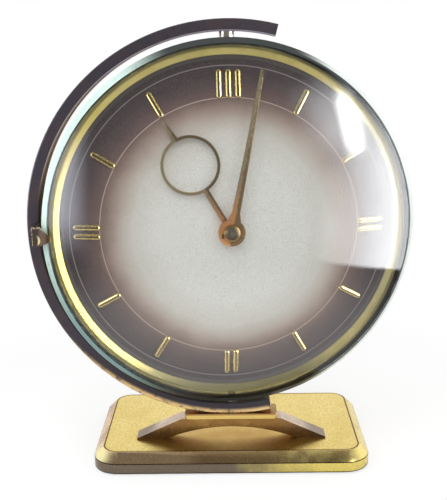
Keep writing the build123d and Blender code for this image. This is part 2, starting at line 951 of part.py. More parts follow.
# Sloping gilt ring round the dial, with its tab at six
with BuildPart() as reflector_ring:
    with BuildSketch(section()):
        add(
            outline(
                [
                    (ring_inner, dial_rim),
                    (ring_outer, dial_rim),
                    (ring_outer, dial_rim + ring_outer_lip),
                    (ring_outer - ring_flat, dial_rim + ring_outer_lip),
                    (ring_inner, dial_rim + ring_inner_lip),
                ]
            )
        )
    revolve(axis=spindle())
    with BuildSketch(level(dial_rim + ring_outer_lip)):
        with Locations((0, -(ring_outer - ring_flat / 2 + tab_reach) / 2)):
            Rectangle(tab_width, tab_reach - ring_outer + ring_flat / 2)
    extrude(amount=-tab_height)
save(reflector_ring, "reflector_ring")

# Applied bars
with BuildPart() as batons_twelve:
    for offset in (-bar_twelve_offset, 0, bar_twelve_offset):
        add(bar(0, offset))
save(batons_twelve, "batons_twelve")

with BuildPart() as batons_quarter:
    for angle in (90, 180, 270):
        for offset in (-bar_quarter_offset, bar_quarter_offset):
            add(bar(angle, offset))
save(batons_quarter, "batons_quarter")

with BuildPart() as batons_hour:
    for angle in (30, 60, 120, 150, 210, 240, 300, 330):
        add(bar(angle, 0))
save(batons_hour, "batons_hour")

# Hour hand with the open ring
with BuildPart() as hour_hand:
    with BuildSketch(dial_plane) as hour_outline:
        with Locations(polar(hour_ring_middle, 90 - hour_angle)):
            Circle(hour_ring_radius)
            Circle(hour_ring_radius - hour_ring_width, mode=Mode.SUBTRACT)
        hour_ring_near = hour_ring_middle - hour_ring_radius + hour_ring_width / 2
        hour_ring_far = hour_ring_middle + hour_ring_radius - hour_ring_width / 2
        add(strip((0, 0), polar(hour_ring_near, 90 - hour_angle), hour_arm_width, hour_arm_width))
        add(
            strip(
                polar(hour_ring_far, 90 - hour_angle),
                polar(hour_tip, 90 - hour_angle),
                hour_spike_width,
                hour_spike_point,
            )
        )
        Circle(hour_hub)
        Circle(hour_pipe + seat_gap, mode=Mode.SUBTRACT)
    extrude(amount=crystal_inner_apex)
    with BuildSketch(section()):
        add(shell_section(hour_hand_back, dial_sphere + hour_hand_lift, hour_hand_thickness, dial_dome))
    revolve(axis=spindle(), mode=Mode.INTERSECT)
save(hour_hand, "hour_hand")

# Minute hand
with BuildPart() as minute_hand:
    with BuildSketch(dial_plane):
        add(strip((0, 0), polar(minute_tip, 90 - minute_angle), minute_width, minute_point))
        add(
            strip(
                polar(minute_flare_start, 90 - minute_angle),
                polar(minute_flare_end, 90 - minute_angle),
                minute_flare_width,
                minute_width,
            )
        )
        Circle(minute_hub)
        Circle(cannon_radius + seat_gap, mode=Mode.SUBTRACT)
    extrude(amount=crystal_inner_apex)
    with BuildSketch(section()):
        add(
            shell_section(
                minute_hand_back, dial_sphere + minute_hand_lift, minute_hand_thickness, dial_dome
            )
        )
    revolve(axis=spindle(), mode=Mode.INTERSECT)
save(minute_hand, "minute_hand")

# Boss and nut on the minute hand
with BuildPart() as hand_boss:
    with BuildSketch(section()):
        with BuildLine():
            Polyline(
                (nut_radius + seat_gap, boss_front),
                (nut_radius + seat_gap, nut_back),
                (centre_radius + seat_gap, nut_back),
                (centre_radius + seat_gap, boss_back),
                (boss_radius, boss_back),
                (boss_radius, boss_back + boss_rim),
            )
            ThreePointArc(
                (boss_radius, boss_back + boss_rim),
                (
                    nut_radius + (boss_radius - nut_radius) * 0.8,
                    boss_back + boss_rim + (boss_height - boss_rim) * 0.7,
                ),
                (nut_radius + seat_gap, boss_front),
            )
        make_face()
    revolve(axis=spindle())
save(hand_boss, "hand_boss")

with BuildPart() as hand_nut:
    with BuildSketch(section()):
        add(
            outline(
                [
                    (0, nut_back),
                    (nut_radius, nut_back),
                    (nut_radius, nut_back + nut_height - nut_edge),
                    (nut_radius - nut_edge, nut_back + nut_height),
                    (0, nut_back + nut_height),
                ]
            )
        )
    revolve(axis=spindle())
save(hand_nut, "hand_nut")

# Rear cover
with BuildPart() as rear_cover:
    with BuildSketch(level(case_back)):
        Circle(cover_radius)
        Circle(knob_hole, mode=Mode.SUBTRACT)
        with Locations(barrel_at):
            Circle(key_hole, mode=Mode.SUBTRACT)
        with Locations(*cover_points):
            Circle(cover_screw_radius + seat_gap, mode=Mode.SUBTRACT)
        with Locations(balance_at):
            add(
                arc_slot(regulator_tail, regulator_direction, regulator_sweep, regulator_slot),
                mode=Mode.SUBTRACT,
            )
    extrude(amount=-cover_thickness)
save(rear_cover, "rear_cover")

with BuildPart() as cover_screws:
    with BuildSketch(level(cover_back)):
        with Locations(*cover_points):
            Circle(cover_head_radius)
    extrude(amount=-cover_head_height)
    with BuildSketch(level(cover_back)):
        with Locations(*cover_points):
            Circle(cover_screw_radius)
    extrude(amount=cover_thickness + rear_ledge_height + cover_screw_reach)
save(cover_screws, "cover_screws")

# Movement plates
with BuildPart() as front_plate:
    with BuildSketch(level(front_plate_back)):
        Circle(movement_radius)
        Circle(centre_radius + pivot_gap, mode=Mode.SUBTRACT)
        with Locations(*train_points):
            Circle(arbor_radius + pivot_gap, mode=Mode.SUBTRACT)
        with Locations(barrel_at):
            Circle(winding_pivot + pivot_gap, mode=Mode.SUBTRACT)
        with Locations(minute_at):
            Circle(stud_radius + seat_gap, mode=Mode.SUBTRACT)
        with Locations(*pillar_points):
            Circle(small_screw_radius + seat_gap, mode=Mode.SUBTRACT)
        with Locations(*foot_points):
            Circle(foot_spigot + seat_gap, mode=Mode.SUBTRACT)
    extrude(amount=movement_plate)
save(front_plate, "front_plate")

with BuildPart() as back_plate:
    with BuildSketch(level(back_plate_front)):
        Circle(movement_radius)
        Circle(centre_radius + pivot_gap, mode=Mode.SUBTRACT)
        with Locations(*train_points):
            Circle(arbor_radius + pivot_gap, mode=Mode.SUBTRACT)
        with Locations(barrel_at):
            Circle(winding_radius + pivot_gap, mode=Mode.SUBTRACT)
        with Locations(click_at):
            Circle(click_screw_radius + seat_gap, mode=Mode.SUBTRACT)
        with Locations(hairspring_stud_at):
            Circle(hairspring_stud_radius + seat_gap, mode=Mode.SUBTRACT)
        with Locations(*pillar_points):
            Circle(small_screw_radius + seat_gap, mode=Mode.SUBTRACT)
    extrude(amount=-movement_plate)
    with BuildSketch(level(back_plate_back, balance_at)):
        Circle(regulator_post)
        Circle(arbor_radius + pivot_gap, mode=Mode.SUBTRACT)
    extrude(amount=-2 * regulator_thickness)
save(back_plate, "back_plate")

# Pillars and their screws
with BuildPart() as pillars:
    with BuildSketch(level(back_plate_front)):
        with Locations(*pillar_points):
            Circle(pillar_radius)
    extrude(amount=front_plate_back - back_plate_front)
    with BuildSketch(level(back_plate_front)):
        with Locations(*pillar_points):
            Circle(small_screw_radius + seat_gap)
    extrude(amount=small_screw_reach + seat_gap, mode=Mode.SUBTRACT)
    with BuildSketch(level(front_plate_back)):
        with Locations(*pillar_points):
            Circle(small_screw_radius + seat_gap)
    extrude(amount=-small_screw_reach - seat_gap, mode=Mode.SUBTRACT)
save(pillars, "pillars")

with BuildPart() as plate_screws:
    with BuildSketch(level(front_plate_front)):
        with Locations(*pillar_points):
            Circle(small_head_radius)
    extrude(amount=small_head_height)
    with BuildSketch(level(front_plate_front)):
        with Locations(*pillar_points):
            Circle(small_screw_radius)
    extrude(amount=-movement_plate - small_screw_reach)
    with BuildSketch(level(back_plate_back)):
        with Locations(*pillar_points):
            Circle(small_head_radius)
    extrude(amount=-small_head_height)
    with BuildSketch(level(back_plate_back)):
        with Locations(*pillar_points):
            Circle(small_screw_radius)
    extrude(amount=movement_plate + small_screw_reach)
save(plate_screws, "plate_screws")

# Feet between dial and movement, cut to the back of the dial
with BuildPart() as dial_feet:
    with BuildSketch(level(front_plate_front)):
        with Locations(*foot_points):
            Circle(foot_radius)
    extrude(amount=dial_apex)
    with BuildSketch(section()):
        with BuildLine():
            under_dial = cap_arc(dial_apex - dial_thickness, dial_sphere, 0, dial_dome)
            ThreePointArc(*under_dial)
            Polyline(under_dial[2], (dial_dome, back_plate_front), (0, back_plate_front), under_dial[0])
        make_face()
    revolve(axis=spindle(), mode=Mode.INTERSECT)
    with BuildSketch(level(front_plate_front)):
        with Locations(*foot_points):
            Circle(foot_spigot)
    extrude(amount=-movement_plate)
save(dial_feet, "dial_feet")

# Barrel with the great wheel
with BuildPart() as barrel:
    with BuildSketch(level(barrel_bottom, barrel_at)):
        add(wheel(barrel_teeth, barrel_module, 0))
    extrude(amount=barrel_flange)
    with BuildSketch(section(barrel_at)):
        add(
            outline(
                [
                    (winding_radius, barrel_bottom + barrel_flange),
                    (barrel_drum, barrel_bottom + barrel_flange),
                    (barrel_drum, barrel_drum_top),
                    (winding_radius, barrel_drum_top),
                ]
            )
        )
    revolve(axis=spindle(barrel_at))
    with BuildSketch(section(barrel_at)):
        add(
            outline(
                [
                    (0, barrel_bottom + barrel_flange),
                    (barrel_drum - barrel_wall, barrel_bottom + barrel_flange),
                    (barrel_drum - barrel_wall, barrel_drum_top - barrel_wall),
                    (0, barrel_drum_top - barrel_wall),
                ]
            )
        )
    revolve(axis=spindle(barrel_at), mode=Mode.SUBTRACT)
    with BuildSketch(level(barrel_bottom, barrel_at)):
        Circle(winding_radius + pivot_gap)
    extrude(amount=barrel_drum_top - barrel_bottom, mode=Mode.SUBTRACT)
save(barrel, "barrel")

with BuildPart() as mainspring:
    spring_inner = winding_core + spring_thickness / 2 + seat_gap
    spring_outer = barrel_drum - barrel_wall - spring_margin - spring_thickness / 2
    with BuildSketch(level(barrel_bottom + barrel_flange + spring_margin, barrel_at)):
        add(spiral_strip(spring_inner, spring_outer, spring_turns, spring_thickness))
    extrude(amount=barrel_drum_top - barrel_wall - barrel_bottom - barrel_flange - 2 * spring_margin)
save(mainspring, "mainspring")

# Winding arbor with its core inside the barrel and a square end for the key
with BuildPart() as winding_arbor:
    with BuildSketch(section(barrel_at)):
        add(
            outline(
                [
                    (0, square_start),
                    (winding_radius, square_start),
                    (winding_radius, barrel_bottom + barrel_flange + spring_margin),
                    (winding_core, barrel_bottom + barrel_flange + spring_margin),
                    (winding_core, barrel_drum_top - barrel_wall - spring_margin),
                    (winding_radius, barrel_drum_top - barrel_wall - spring_margin),
                    (winding_radius, front_plate_back - shoulder_play),
                    (winding_pivot, front_plate_back - shoulder_play),
                    (winding_pivot, front_plate_front),
                    (0, front_plate_front),
                ]
            )
        )
    revolve(axis=spindle(barrel_at))
    with BuildSketch(level(square_start, barrel_at)):
        Rectangle(winding_square, winding_square)
    extrude(amount=winding_end - square_start)
save(winding_arbor, "winding_arbor")

ratchet_front = back_plate_back - ratchet_gap
with BuildPart() as ratchet_wheel:
    with BuildSketch(level(ratchet_front, barrel_at)):
        add(saw(ratchet_teeth, ratchet_root, ratchet_radius, ratchet_lean))
        Circle(winding_radius + seat_gap, mode=Mode.SUBTRACT)
    extrude(amount=-ratchet_thickness)
save(ratchet_wheel, "ratchet_wheel")

# Click beside the ratchet, and its screw
nose_at = shift(barrel_at, ratchet_radius + click_nose_gap + click_tip / 2, click_nose_angle)
click_nose = (nose_at[0] - click_at[0], nose_at[1] - click_at[1])
with BuildPart() as click:
    with BuildSketch(level(ratchet_front, click_at)):
        add(strip((0, 0), click_nose, click_width, click_tip))
        Circle(click_radius)
        Circle(click_screw_radius + pivot_gap, mode=Mode.SUBTRACT)
    extrude(amount=-ratchet_thickness)
save(click, "click")

with BuildPart() as click_screw:
    with BuildSketch(level(back_plate_front, click_at)):
        Circle(click_screw_radius)
    extrude(amount=ratchet_front - ratchet_thickness - shoulder_play - back_plate_front)
    with BuildSketch(level(ratchet_front - ratchet_thickness - shoulder_play, click_at)):
        Circle(small_head_radius)
    extrude(amount=-small_head_height)
save(click_screw, "click_screw")

# Winding key outside the cover
with BuildPart() as winding_key:
    with BuildSketch(level(key_front, barrel_at)):
        Circle(key_hub)
    extrude(amount=key_back - key_front)
    with BuildSketch(level(key_back, barrel_at)):
        SlotOverall(key_width, key_thickness)
    extrude(amount=-key_wing)
    with BuildSketch(level(key_front, barrel_at)):
        Rectangle(winding_square + 2 * key_square_gap, winding_square + 2 * key_square_gap)
    extrude(amount=winding_end - key_front - key_square_gap, mode=Mode.SUBTRACT)
save(winding_key, "winding_key")

# Centre wheel, running on the centre arbor
with BuildPart() as centre_wheel:
    with BuildSketch(level(centre_pinion_back)):
        add(pinion(centre_pinion_teeth, barrel_module, centre_pinion_turn))
    extrude(amount=centre_pinion_length)
    with BuildSketch(level(centre_wheel_back)):
        add(wheel(centre_teeth, centre_module, 0))
        with PolarLocations(centre_teeth * centre_module * spoke_share, 5):
            Circle(centre_teeth * centre_module * spoke_hole_share, mode=Mode.SUBTRACT)
    extrude(amount=wheel_thickness)
    with BuildSketch(level(centre_pinion_back)):
        Circle(centre_sleeve)
    extrude(amount=centre_sleeve_front - centre_pinion_back)
    with BuildSketch(level(centre_pinion_back)):
        Circle(centre_radius + pivot_gap)
    extrude(amount=centre_sleeve_front - centre_pinion_back, mode=Mode.SUBTRACT)
save(centre_wheel, "centre_wheel")

# Third, fourth and escape wheels
with BuildPart() as third_wheel:
    with BuildSketch(section(third_at)):
        add(arbor(front_plate_front, back_plate_back))
    revolve(axis=spindle(third_at))
    with BuildSketch(level(centre_wheel_back + (wheel_thickness - pinion_length) / 2, third_at)):
        add(pinion(third_pinion_teeth, centre_module, third_pinion_turn))
    extrude(amount=pinion_length)
    with BuildSketch(level(third_wheel_back, third_at)):
        add(wheel(third_teeth, third_module, 0))
        with PolarLocations(third_teeth * third_module * spoke_share, 5):
            Circle(third_teeth * third_module * spoke_hole_share, mode=Mode.SUBTRACT)
    extrude(amount=wheel_thickness)
save(third_wheel, "third_wheel")

with BuildPart() as fourth_wheel:
    with BuildSketch(section(fourth_at)):
        add(arbor(front_plate_front, back_plate_back))
    revolve(axis=spindle(fourth_at))
    with BuildSketch(level(third_wheel_back + (wheel_thickness - pinion_length) / 2, fourth_at)):
        add(pinion(fourth_pinion_teeth, third_module, fourth_pinion_turn))
    extrude(amount=pinion_length)
    with BuildSketch(level(fourth_wheel_back, fourth_at)):
        add(wheel(fourth_teeth, fourth_module, 0))
        with PolarLocations(fourth_teeth * fourth_module * spoke_share, 5):
            Circle(fourth_teeth * fourth_module * spoke_hole_share, mode=Mode.SUBTRACT)
    extrude(amount=wheel_thickness)
save(fourth_wheel, "fourth_wheel")

with BuildPart() as escape_wheel:
    with BuildSketch(section(escape_at)):
        add(arbor(front_plate_front, back_plate_back))
    revolve(axis=spindle(escape_at))
    with BuildSketch(level(fourth_wheel_back + (wheel_thickness - pinion_length) / 2, escape_at)):
        add(pinion(escape_pinion_teeth, fourth_module, escape_pinion_turn))
    extrude(amount=pinion_length)
    with BuildSketch(level(escape_wheel_back, escape_at)):
        add(saw(escape_teeth, escape_root, escape_radius, escape_lean))
    extrude(amount=wheel_thickness)
save(escape_wheel, "escape_wheel")

# Pallet fork
with BuildPart() as pallet_fork:
    with BuildSketch(section(pallet_at)):
        add(arbor(front_plate_front, back_plate_back))
    revolve(axis=spindle(pallet_at))
    with BuildSketch(level(fork_back, pallet_at)):
        Circle(pallet_hub)
        escape_from_pallet = polar(pallet_distance, pallet_angle + 180)
        for side in (-pallet_spread, pallet_spread):
            add(
                strip(
                    (0, 0),
                    shift(escape_from_pallet, pallet_circle, pallet_angle + side),
                    pallet_arm_width,
                    pallet_tip_width,
                )
            )
        fork_end = polar(balance_distance - roller_radius - roller_gap, balance_angle)
        add(strip((0, 0), fork_end, fork_tail_width, pallet_tip_width))
    extrude(amount=fork_thickness)
save(pallet_fork, "pallet_fork")

# Balance wheel
with BuildPart() as balance_wheel:
    with BuildSketch(section(balance_at)):
        add(arbor(front_plate_front, back_plate_back))
    revolve(axis=spindle(balance_at))
    with BuildSketch(level(balance_back, balance_at)):
        Circle(balance_radius)
        Circle(balance_radius - balance_rim, mode=Mode.SUBTRACT)
        Rectangle(2 * balance_radius - balance_rim, balance_arm)
        Circle(roller_radius)
    extrude(amount=balance_rim)
    with BuildSketch(level(fork_back, balance_at)):
        Circle(roller_radius)
    extrude(amount=fork_thickness)
save(balance_wheel, "balance_wheel")

with BuildPart() as hairspring:
    with BuildSketch(level(hairspring_back, balance_at)):
        add(spiral_strip(hairspring_inner, hairspring_outer, hairspring_turns, hairspring_thickness))
    extrude(amount=hairspring_height)
save(hairspring, "hairspring")

with BuildPart() as hairspring_stud:
    with BuildSketch(level(back_plate_back, hairspring_stud_at)):
        Circle(hairspring_stud_radius)
    extrude(amount=hairspring_back + hairspring_height + spring_margin - back_plate_back)
save(hairspring_stud, "hairspring_stud")

# Regulator lever with a pin through the cover
regulator_front = back_plate_back - shoulder_play
with BuildPart() as regulator_lever:
    with BuildSketch(level(regulator_front, balance_at)):
        Circle(regulator_ring)
        regulator_tip = polar(regulator_tail, regulator_direction)
        add(strip((0, 0), regulator_tip, regulator_tail_width, 2 * regulator_pin))
        with Locations(polar(regulator_tail, regulator_direction)):
            Circle(regulator_pin)
        Circle(regulator_post + pivot_gap, mode=Mode.SUBTRACT)
    extrude(amount=-regulator_thickness)
    with BuildSketch(level(regulator_front, balance_at)):
        with Locations(polar(regulator_tail, regulator_direction)):
            Circle(regulator_pin)
    extrude(amount=regulator_end - regulator_front)
save(regulator_lever, "regulator_lever")

# Centre arbor with the cannon pinion
with BuildPart() as centre_arbor:
    with BuildSketch(section()):
        add(
            outline(
                [
                    (0, knob_front - knob_length + shoulder_length),
                    (centre_radius, knob_front - knob_length + shoulder_length),
                    (centre_radius, cannon_back),
                    (cannon_radius, cannon_back),
                    (cannon_radius, boss_back),
                    (centre_radius, boss_back),
                    (centre_radius, nut_back - shoulder_play),
                    (0, nut_back - shoulder_play),
                ]
            )
        )
    revolve(axis=spindle())
    with BuildSketch(level(cannon_tooth_back)):
        add(pinion(cannon_teeth, cannon_module, 0))
    extrude(amount=cannon_tooth_length)
save(centre_arbor, "centre_arbor")

# Knob for setting the hands
with BuildPart() as set_knob:
    with BuildSketch(level(knob_front)):
        Circle(knob_radius)
        with PolarLocations(knob_radius, knob_grooves):
            Circle(knob_groove_radius, mode=Mode.SUBTRACT)
    extrude(amount=-knob_length)
    with BuildSketch(level(knob_front)):
        Circle(centre_radius + seat_gap)
    extrude(amount=-knob_length + shoulder_length - seat_gap, mode=Mode.SUBTRACT)
save(set_knob, "set_knob")

# Motion work
with BuildPart() as minute_stud:
    with BuildSketch(level(front_plate_back, minute_at)):
        Circle(stud_radius)
    extrude(amount=minute_pinion_front + shoulder_play - front_plate_back)
    with BuildSketch(level(front_plate_front, minute_at)):
        Circle(stud_head)
    extrude(amount=minute_wheel_back - shoulder_play - front_plate_front)
    with BuildSketch(level(minute_pinion_front + shoulder_play, minute_at)):
        Circle(stud_head)
    extrude(amount=stud_head_height)
save(minute_stud, "minute_stud")

with BuildPart() as minute_wheel:
    with BuildSketch(level(minute_wheel_back, minute_at)):
        add(wheel(minute_wheel_teeth, cannon_module, minute_wheel_turn))
        with PolarLocations(minute_wheel_teeth * cannon_module * spoke_share, 5):
            Circle(minute_wheel_teeth * cannon_module * spoke_hole_share / 2, mode=Mode.SUBTRACT)
    extrude(amount=wheel_thickness)
    with BuildSketch(level(minute_wheel_back, minute_at)):
        add(pinion(minute_pinion_teeth, hour_module, 0))
    extrude(amount=minute_pinion_front - minute_wheel_back)
    with BuildSketch(level(minute_wheel_back, minute_at)):
        Circle(stud_radius + pivot_gap)
    extrude(amount=minute_pinion_front - minute_wheel_back, mode=Mode.SUBTRACT)
save(minute_wheel, "minute_wheel")

with BuildPart() as hour_wheel:
    with BuildSketch(level(hour_wheel_back)):
        add(wheel(hour_wheel_teeth, hour_module, hour_wheel_turn))
    extrude(amount=wheel_thickness)
    with BuildSketch(level(hour_wheel_back)):
        Circle(hour_pipe)
    extrude(amount=hour_hand_back + hour_hand_thickness + seat_gap - hour_wheel_back)
    with BuildSketch(level(hour_wheel_back)):
        Circle(cannon_radius + pivot_gap)
    extrude(amount=hour_hand_back + hour_hand_thickness + seat_gap - hour_wheel_back, mode=Mode.SUBTRACT)
save(hour_wheel, "hour_wheel")
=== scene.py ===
"""Looks of the swivelling table clock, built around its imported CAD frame.

The frame is in metres. Lengths here are in millimetres, except those of the floor and the lamps, which are
in metres. Colours are sRGB from 0 to 255.
"""

import json
import math

import bmesh
import bpy
from mathutils import Matrix, Vector


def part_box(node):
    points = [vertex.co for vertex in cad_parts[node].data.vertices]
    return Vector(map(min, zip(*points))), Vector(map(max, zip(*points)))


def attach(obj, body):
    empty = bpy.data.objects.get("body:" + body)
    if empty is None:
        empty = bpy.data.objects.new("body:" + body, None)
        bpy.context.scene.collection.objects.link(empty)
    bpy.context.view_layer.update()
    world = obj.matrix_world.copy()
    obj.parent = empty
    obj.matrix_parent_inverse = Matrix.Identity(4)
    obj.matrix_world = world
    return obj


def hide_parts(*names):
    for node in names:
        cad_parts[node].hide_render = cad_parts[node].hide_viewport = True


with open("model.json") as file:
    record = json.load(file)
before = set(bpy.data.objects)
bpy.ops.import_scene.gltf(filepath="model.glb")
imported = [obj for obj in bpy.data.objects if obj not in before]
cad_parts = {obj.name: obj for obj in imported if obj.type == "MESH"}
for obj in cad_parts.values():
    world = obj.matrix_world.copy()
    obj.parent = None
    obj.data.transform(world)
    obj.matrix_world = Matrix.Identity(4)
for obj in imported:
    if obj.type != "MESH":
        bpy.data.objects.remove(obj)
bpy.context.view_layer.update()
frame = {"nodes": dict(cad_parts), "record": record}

nodes = frame["nodes"]

MM = 0.001

# Stand: middle of the base, the flat of its top, the inner side of the arm and the middle of the stop
BASE_MIDDLE_Y = 12.8
TOP_HALF_X, TOP_HALF_Y, TOP_CORNER = 52.4, 28.4, 6.7
ARM_INNER = 74.5
STOP_Z = 96.4

# Case: height of its middle, its turn on the pivots, and radii from the dial outwards
AXIS_Z = 97.9
CASE_YAW = math.radians(5.0)
INNER_CIRCLE, OUTER_CIRCLE = 50.0, 61.7
DIAL_RIM = 64.0
RING_MIDDLE = 66.9
GROUND_EDGE = 69.8

# Hands: degrees from twelve
HOUR_ANGLE, MINUTE_ANGLE = 329.5, 11.9

# Edges: gaps closed before easing, and the angle from which an edge counts as sharp
WELD_GAP = 0.0001
SHARP_ANGLE = math.radians(35.0)

# Felt: corner, cells of its mesh, and height and frequency (per metre) of its unevenness
FELT_CORNER = 9.3
FELT_COLUMNS, FELT_ROWS = 56, 32
FELT_WAVE = 0.05
FELT_RIPPLE_X, FELT_RIPPLE_Y = 1900.0, 2300.0

# Room: brightness in front, behind and overhead, the floor, where the lamps aim, and the tints of panels
ROOM_FRONT, ROOM_BEHIND, ROOM_CEILING = 0.24, 1.0, 0.6
FLOOR_RADIUS, FLOOR_DROP = 1.2, 0.0002
LAMP_AIM = Vector((0.0, 0.0, 0.1))
COOL, LILAC = (0.96, 0.975, 1.0), (0.86, 0.88, 1.0)

# Camera: place, then yaw, pitch and roll in degrees, and the lens of a picture 500 pixels high
CAMERA_AT = (0.42, -327.05, 169.82)
CAMERA_ANGLES = (-0.455, 14.08, -0.75)
FOCAL_PIXELS = 850.0
IMAGE_HEIGHT = 500.0
SENSOR = 36.0


def srgb(red, green, blue):
    """Linear colour of sRGB values from 0 to 255."""
    def linear(value):
        value /= 255.0
        return value / 12.92 if value <= 0.04045 else ((value + 0.055) / 1.055) ** 2.4
    return (linear(red), linear(green), linear(blue), 1.0)


class Nodes:
    """An emptied node tree. Calls add nodes to it and return sockets."""

    def __init__(self, tree):
        self.tree = tree
        tree.nodes.clear()

    def add(self, kind, **settings):
        node = self.tree.nodes.new(kind)
        for key, value in settings.items():
            setattr(node, key, value)
        return node

    def put(self, socket, value):
        if isinstance(value, bpy.types.NodeSocket):
            self.tree.links.new(value, socket)
        else:
            socket.default_value = value

    def feed(self, node, *values):
        """Fills the first inputs of a node and returns its first output."""
        for socket, value in zip(node.inputs, values):
            self.put(socket, value)
        return node.outputs[0]

    def split(self, vector):
        node = self.add("ShaderNodeSeparateXYZ")
        self.put(node.inputs[0], vector)
        return node.outputs[0], node.outputs[1], node.outputs[2]

    def join(self, x, y, z):
        return self.feed(self.add("ShaderNodeCombineXYZ"), x, y, z)

    def math(self, operation, first, second=0.0):
        return self.feed(self.add("ShaderNodeMath", operation=operation), first, second)

    def times(self, *values):
        result = values[0]
        for value in values[1:]:
            result = self.math("MULTIPLY", result, value)
        return result

    def plus(self, *values):
        result = values[0]
        for value in values[1:]:
            result = self.math("ADD", result, value)
        return result

    def minus(self, first, second):
        return self.math("SUBTRACT", first, second)

    def over(self, first, second):
        return self.math("DIVIDE", first, second)

    def absolute(self, value):
        return self.math("ABSOLUTE", value)

    def most(self, first, second):
        return self.math("MAXIMUM", first, second)

    def length(self, first, second):
        return self.math("SQRT", self.plus(self.times(first, first), self.times(second, second)))

    def ramp(self, value, start, end, low=0.0, high=1.0):
        """low at start, high at end, with a smooth step between them."""
        node = self.add("ShaderNodeMapRange", interpolation_type="SMOOTHSTEP")
        return self.feed(node, value, start, end, low, high)

    def band(self, value, middle, half, soft):
        """1 within half of middle, 0 beyond half plus soft."""
        return self.ramp(self.absolute(self.minus(value, middle)), half + soft, half)

    def blend(self, share, first, second):
        """Colour between two colours."""
        node = self.add("ShaderNodeMix", data_type="RGBA")
        self.put(node.inputs[0], share)
        self.put(node.inputs[6], first)
        self.put(node.inputs[7], second)
        return node.outputs[2]

    def stops(self, value, *pairs):
        """Colour of a value between given (position, colour) pairs."""
        low, high = pairs[0][0], pairs[-1][0]
        node = self.add("ShaderNodeValToRGB")
        spread = self.feed(self.add("ShaderNodeMapRange"), value, low, high)
        elements = node.color_ramp.elements
        while len(elements) < len(pairs):
            elements.new(0.5)
        for element, (position, colour) in zip(elements, pairs):
            element.position = (position - low) / (high - low)
            element.color = colour
        return self.feed(node, spread)

    def mix(self, share, first, second):
        """Shader between two shaders."""
        return self.feed(self.add("ShaderNodeMixShader"), share, first, second)


class Paint(Nodes):
    """One procedural material. Its places and depths are in millimetres."""

    def __init__(self, name):
        self.material = bpy.data.materials.new(name)
        self.material.use_nodes = True
        super().__init__(self.material.node_tree)
        self.output = self.add("ShaderNodeOutputMaterial")
        coordinates = self.add("ShaderNodeTexCoord")
        scaled = self.add("ShaderNodeVectorMath", operation="SCALE")
        scaled.inputs["Scale"].default_value = 1 / MM
        self.point = self.feed(scaled, coordinates.outputs["Object"])
        self.x, self.y, self.z = self.split(self.point)
        self.normal_x, self.normal_y, self.normal_z = self.split(coordinates.outputs["Normal"])

    def noise(self, per_mm, detail=4.0, roughness=0.6, vector=None):
        node = self.add("ShaderNodeTexNoise")
        self.put(node.inputs["Vector"], vector if vector is not None else self.point)
        node.inputs["Scale"].default_value = per_mm
        node.inputs["Detail"].default_value = detail
        node.inputs["Roughness"].default_value = roughness
        return node.outputs[0]

    def cells(self, per_mm):
        node = self.add("ShaderNodeTexVoronoi")
        self.put(node.inputs["Vector"], self.point)
        node.inputs["Scale"].default_value = per_mm
        return node.outputs["Distance"]

    def bump(self, height, depth):
        """Normal raised by height. The depth is a number or a socket."""
        node = self.add("ShaderNodeBump")
        node.inputs["Strength"].default_value = 1.0
        varies = isinstance(depth, bpy.types.NodeSocket)
        self.put(node.inputs["Distance"], self.times(depth, MM) if varies else depth * MM)
        self.put(node.inputs["Height"], height)
        return node.outputs[0]

    def shader(self, **values):
        node = self.add("ShaderNodeBsdfPrincipled")
        for name, value in values.items():
            self.put(node.inputs[name.replace("_", " ").replace("Ior", "IOR")], value)
        return node.outputs[0]

    def surface(self, shader):
        self.put(self.output.inputs["Surface"], shader)
        return self.material

    def case_plane(self):
        """Right, up and radius in the plane of the dial, from its middle."""
        across = self.plus(self.times(self.x, math.cos(CASE_YAW)), self.times(self.y, math.sin(CASE_YAW)))
        upward = self.minus(self.z, AXIS_Z)
        return across, upward, self.length(across, upward)


def metal(name, colour, deep, rough, per_mm=0.25, pits=0.35, depth=0.006, metallic=1.0):
    """Worn metal: clouds of a deeper tone, fine pits, uneven shine."""
    p = Paint(name)
    cloud = p.noise(per_mm, 6.0, 0.65)
    fine = p.noise(per_mm * 12, 3.0, 0.6)
    tone = p.blend(p.ramp(cloud, 0.38, 0.72), srgb(*colour), srgb(*deep))
    tone = p.blend(p.times(p.ramp(fine, 0.58, 0.76), pits), tone, srgb(*deep))
    return p.surface(p.shader(
        Base_Color=tone, Metallic=metallic,
        Roughness=p.ramp(fine, 0.3, 0.75, rough - 0.05, rough + 0.1),
        Normal=p.bump(fine, depth),
    ))


def turned(name, colour, deep, rough, per_mm=3.0, depth=0.008):
    """Metal with fine rings from the lathe round the middle of the case."""
    p = Paint(name)
    _, _, radius = p.case_plane()
    rings = p.noise(per_mm, 3.0, 0.7, p.join(radius, 0.0, 0.0))
    cloud = p.noise(0.12, 6.0, 0.65)
    tone = p.blend(p.ramp(cloud, 0.35, 0.75, 0.0, 0.45), srgb(*colour), srgb(*deep))
    tone = p.blend(p.ramp(rings, 0.5, 0.75, 0.0, 0.5), tone, srgb(*deep))
    return p.surface(p.shader(
        Base_Color=tone, Metallic=1.0,
        Roughness=p.ramp(rings, 0.3, 0.7, rough - 0.05, rough + 0.1),
        Normal=p.bump(rings, depth),
    ))


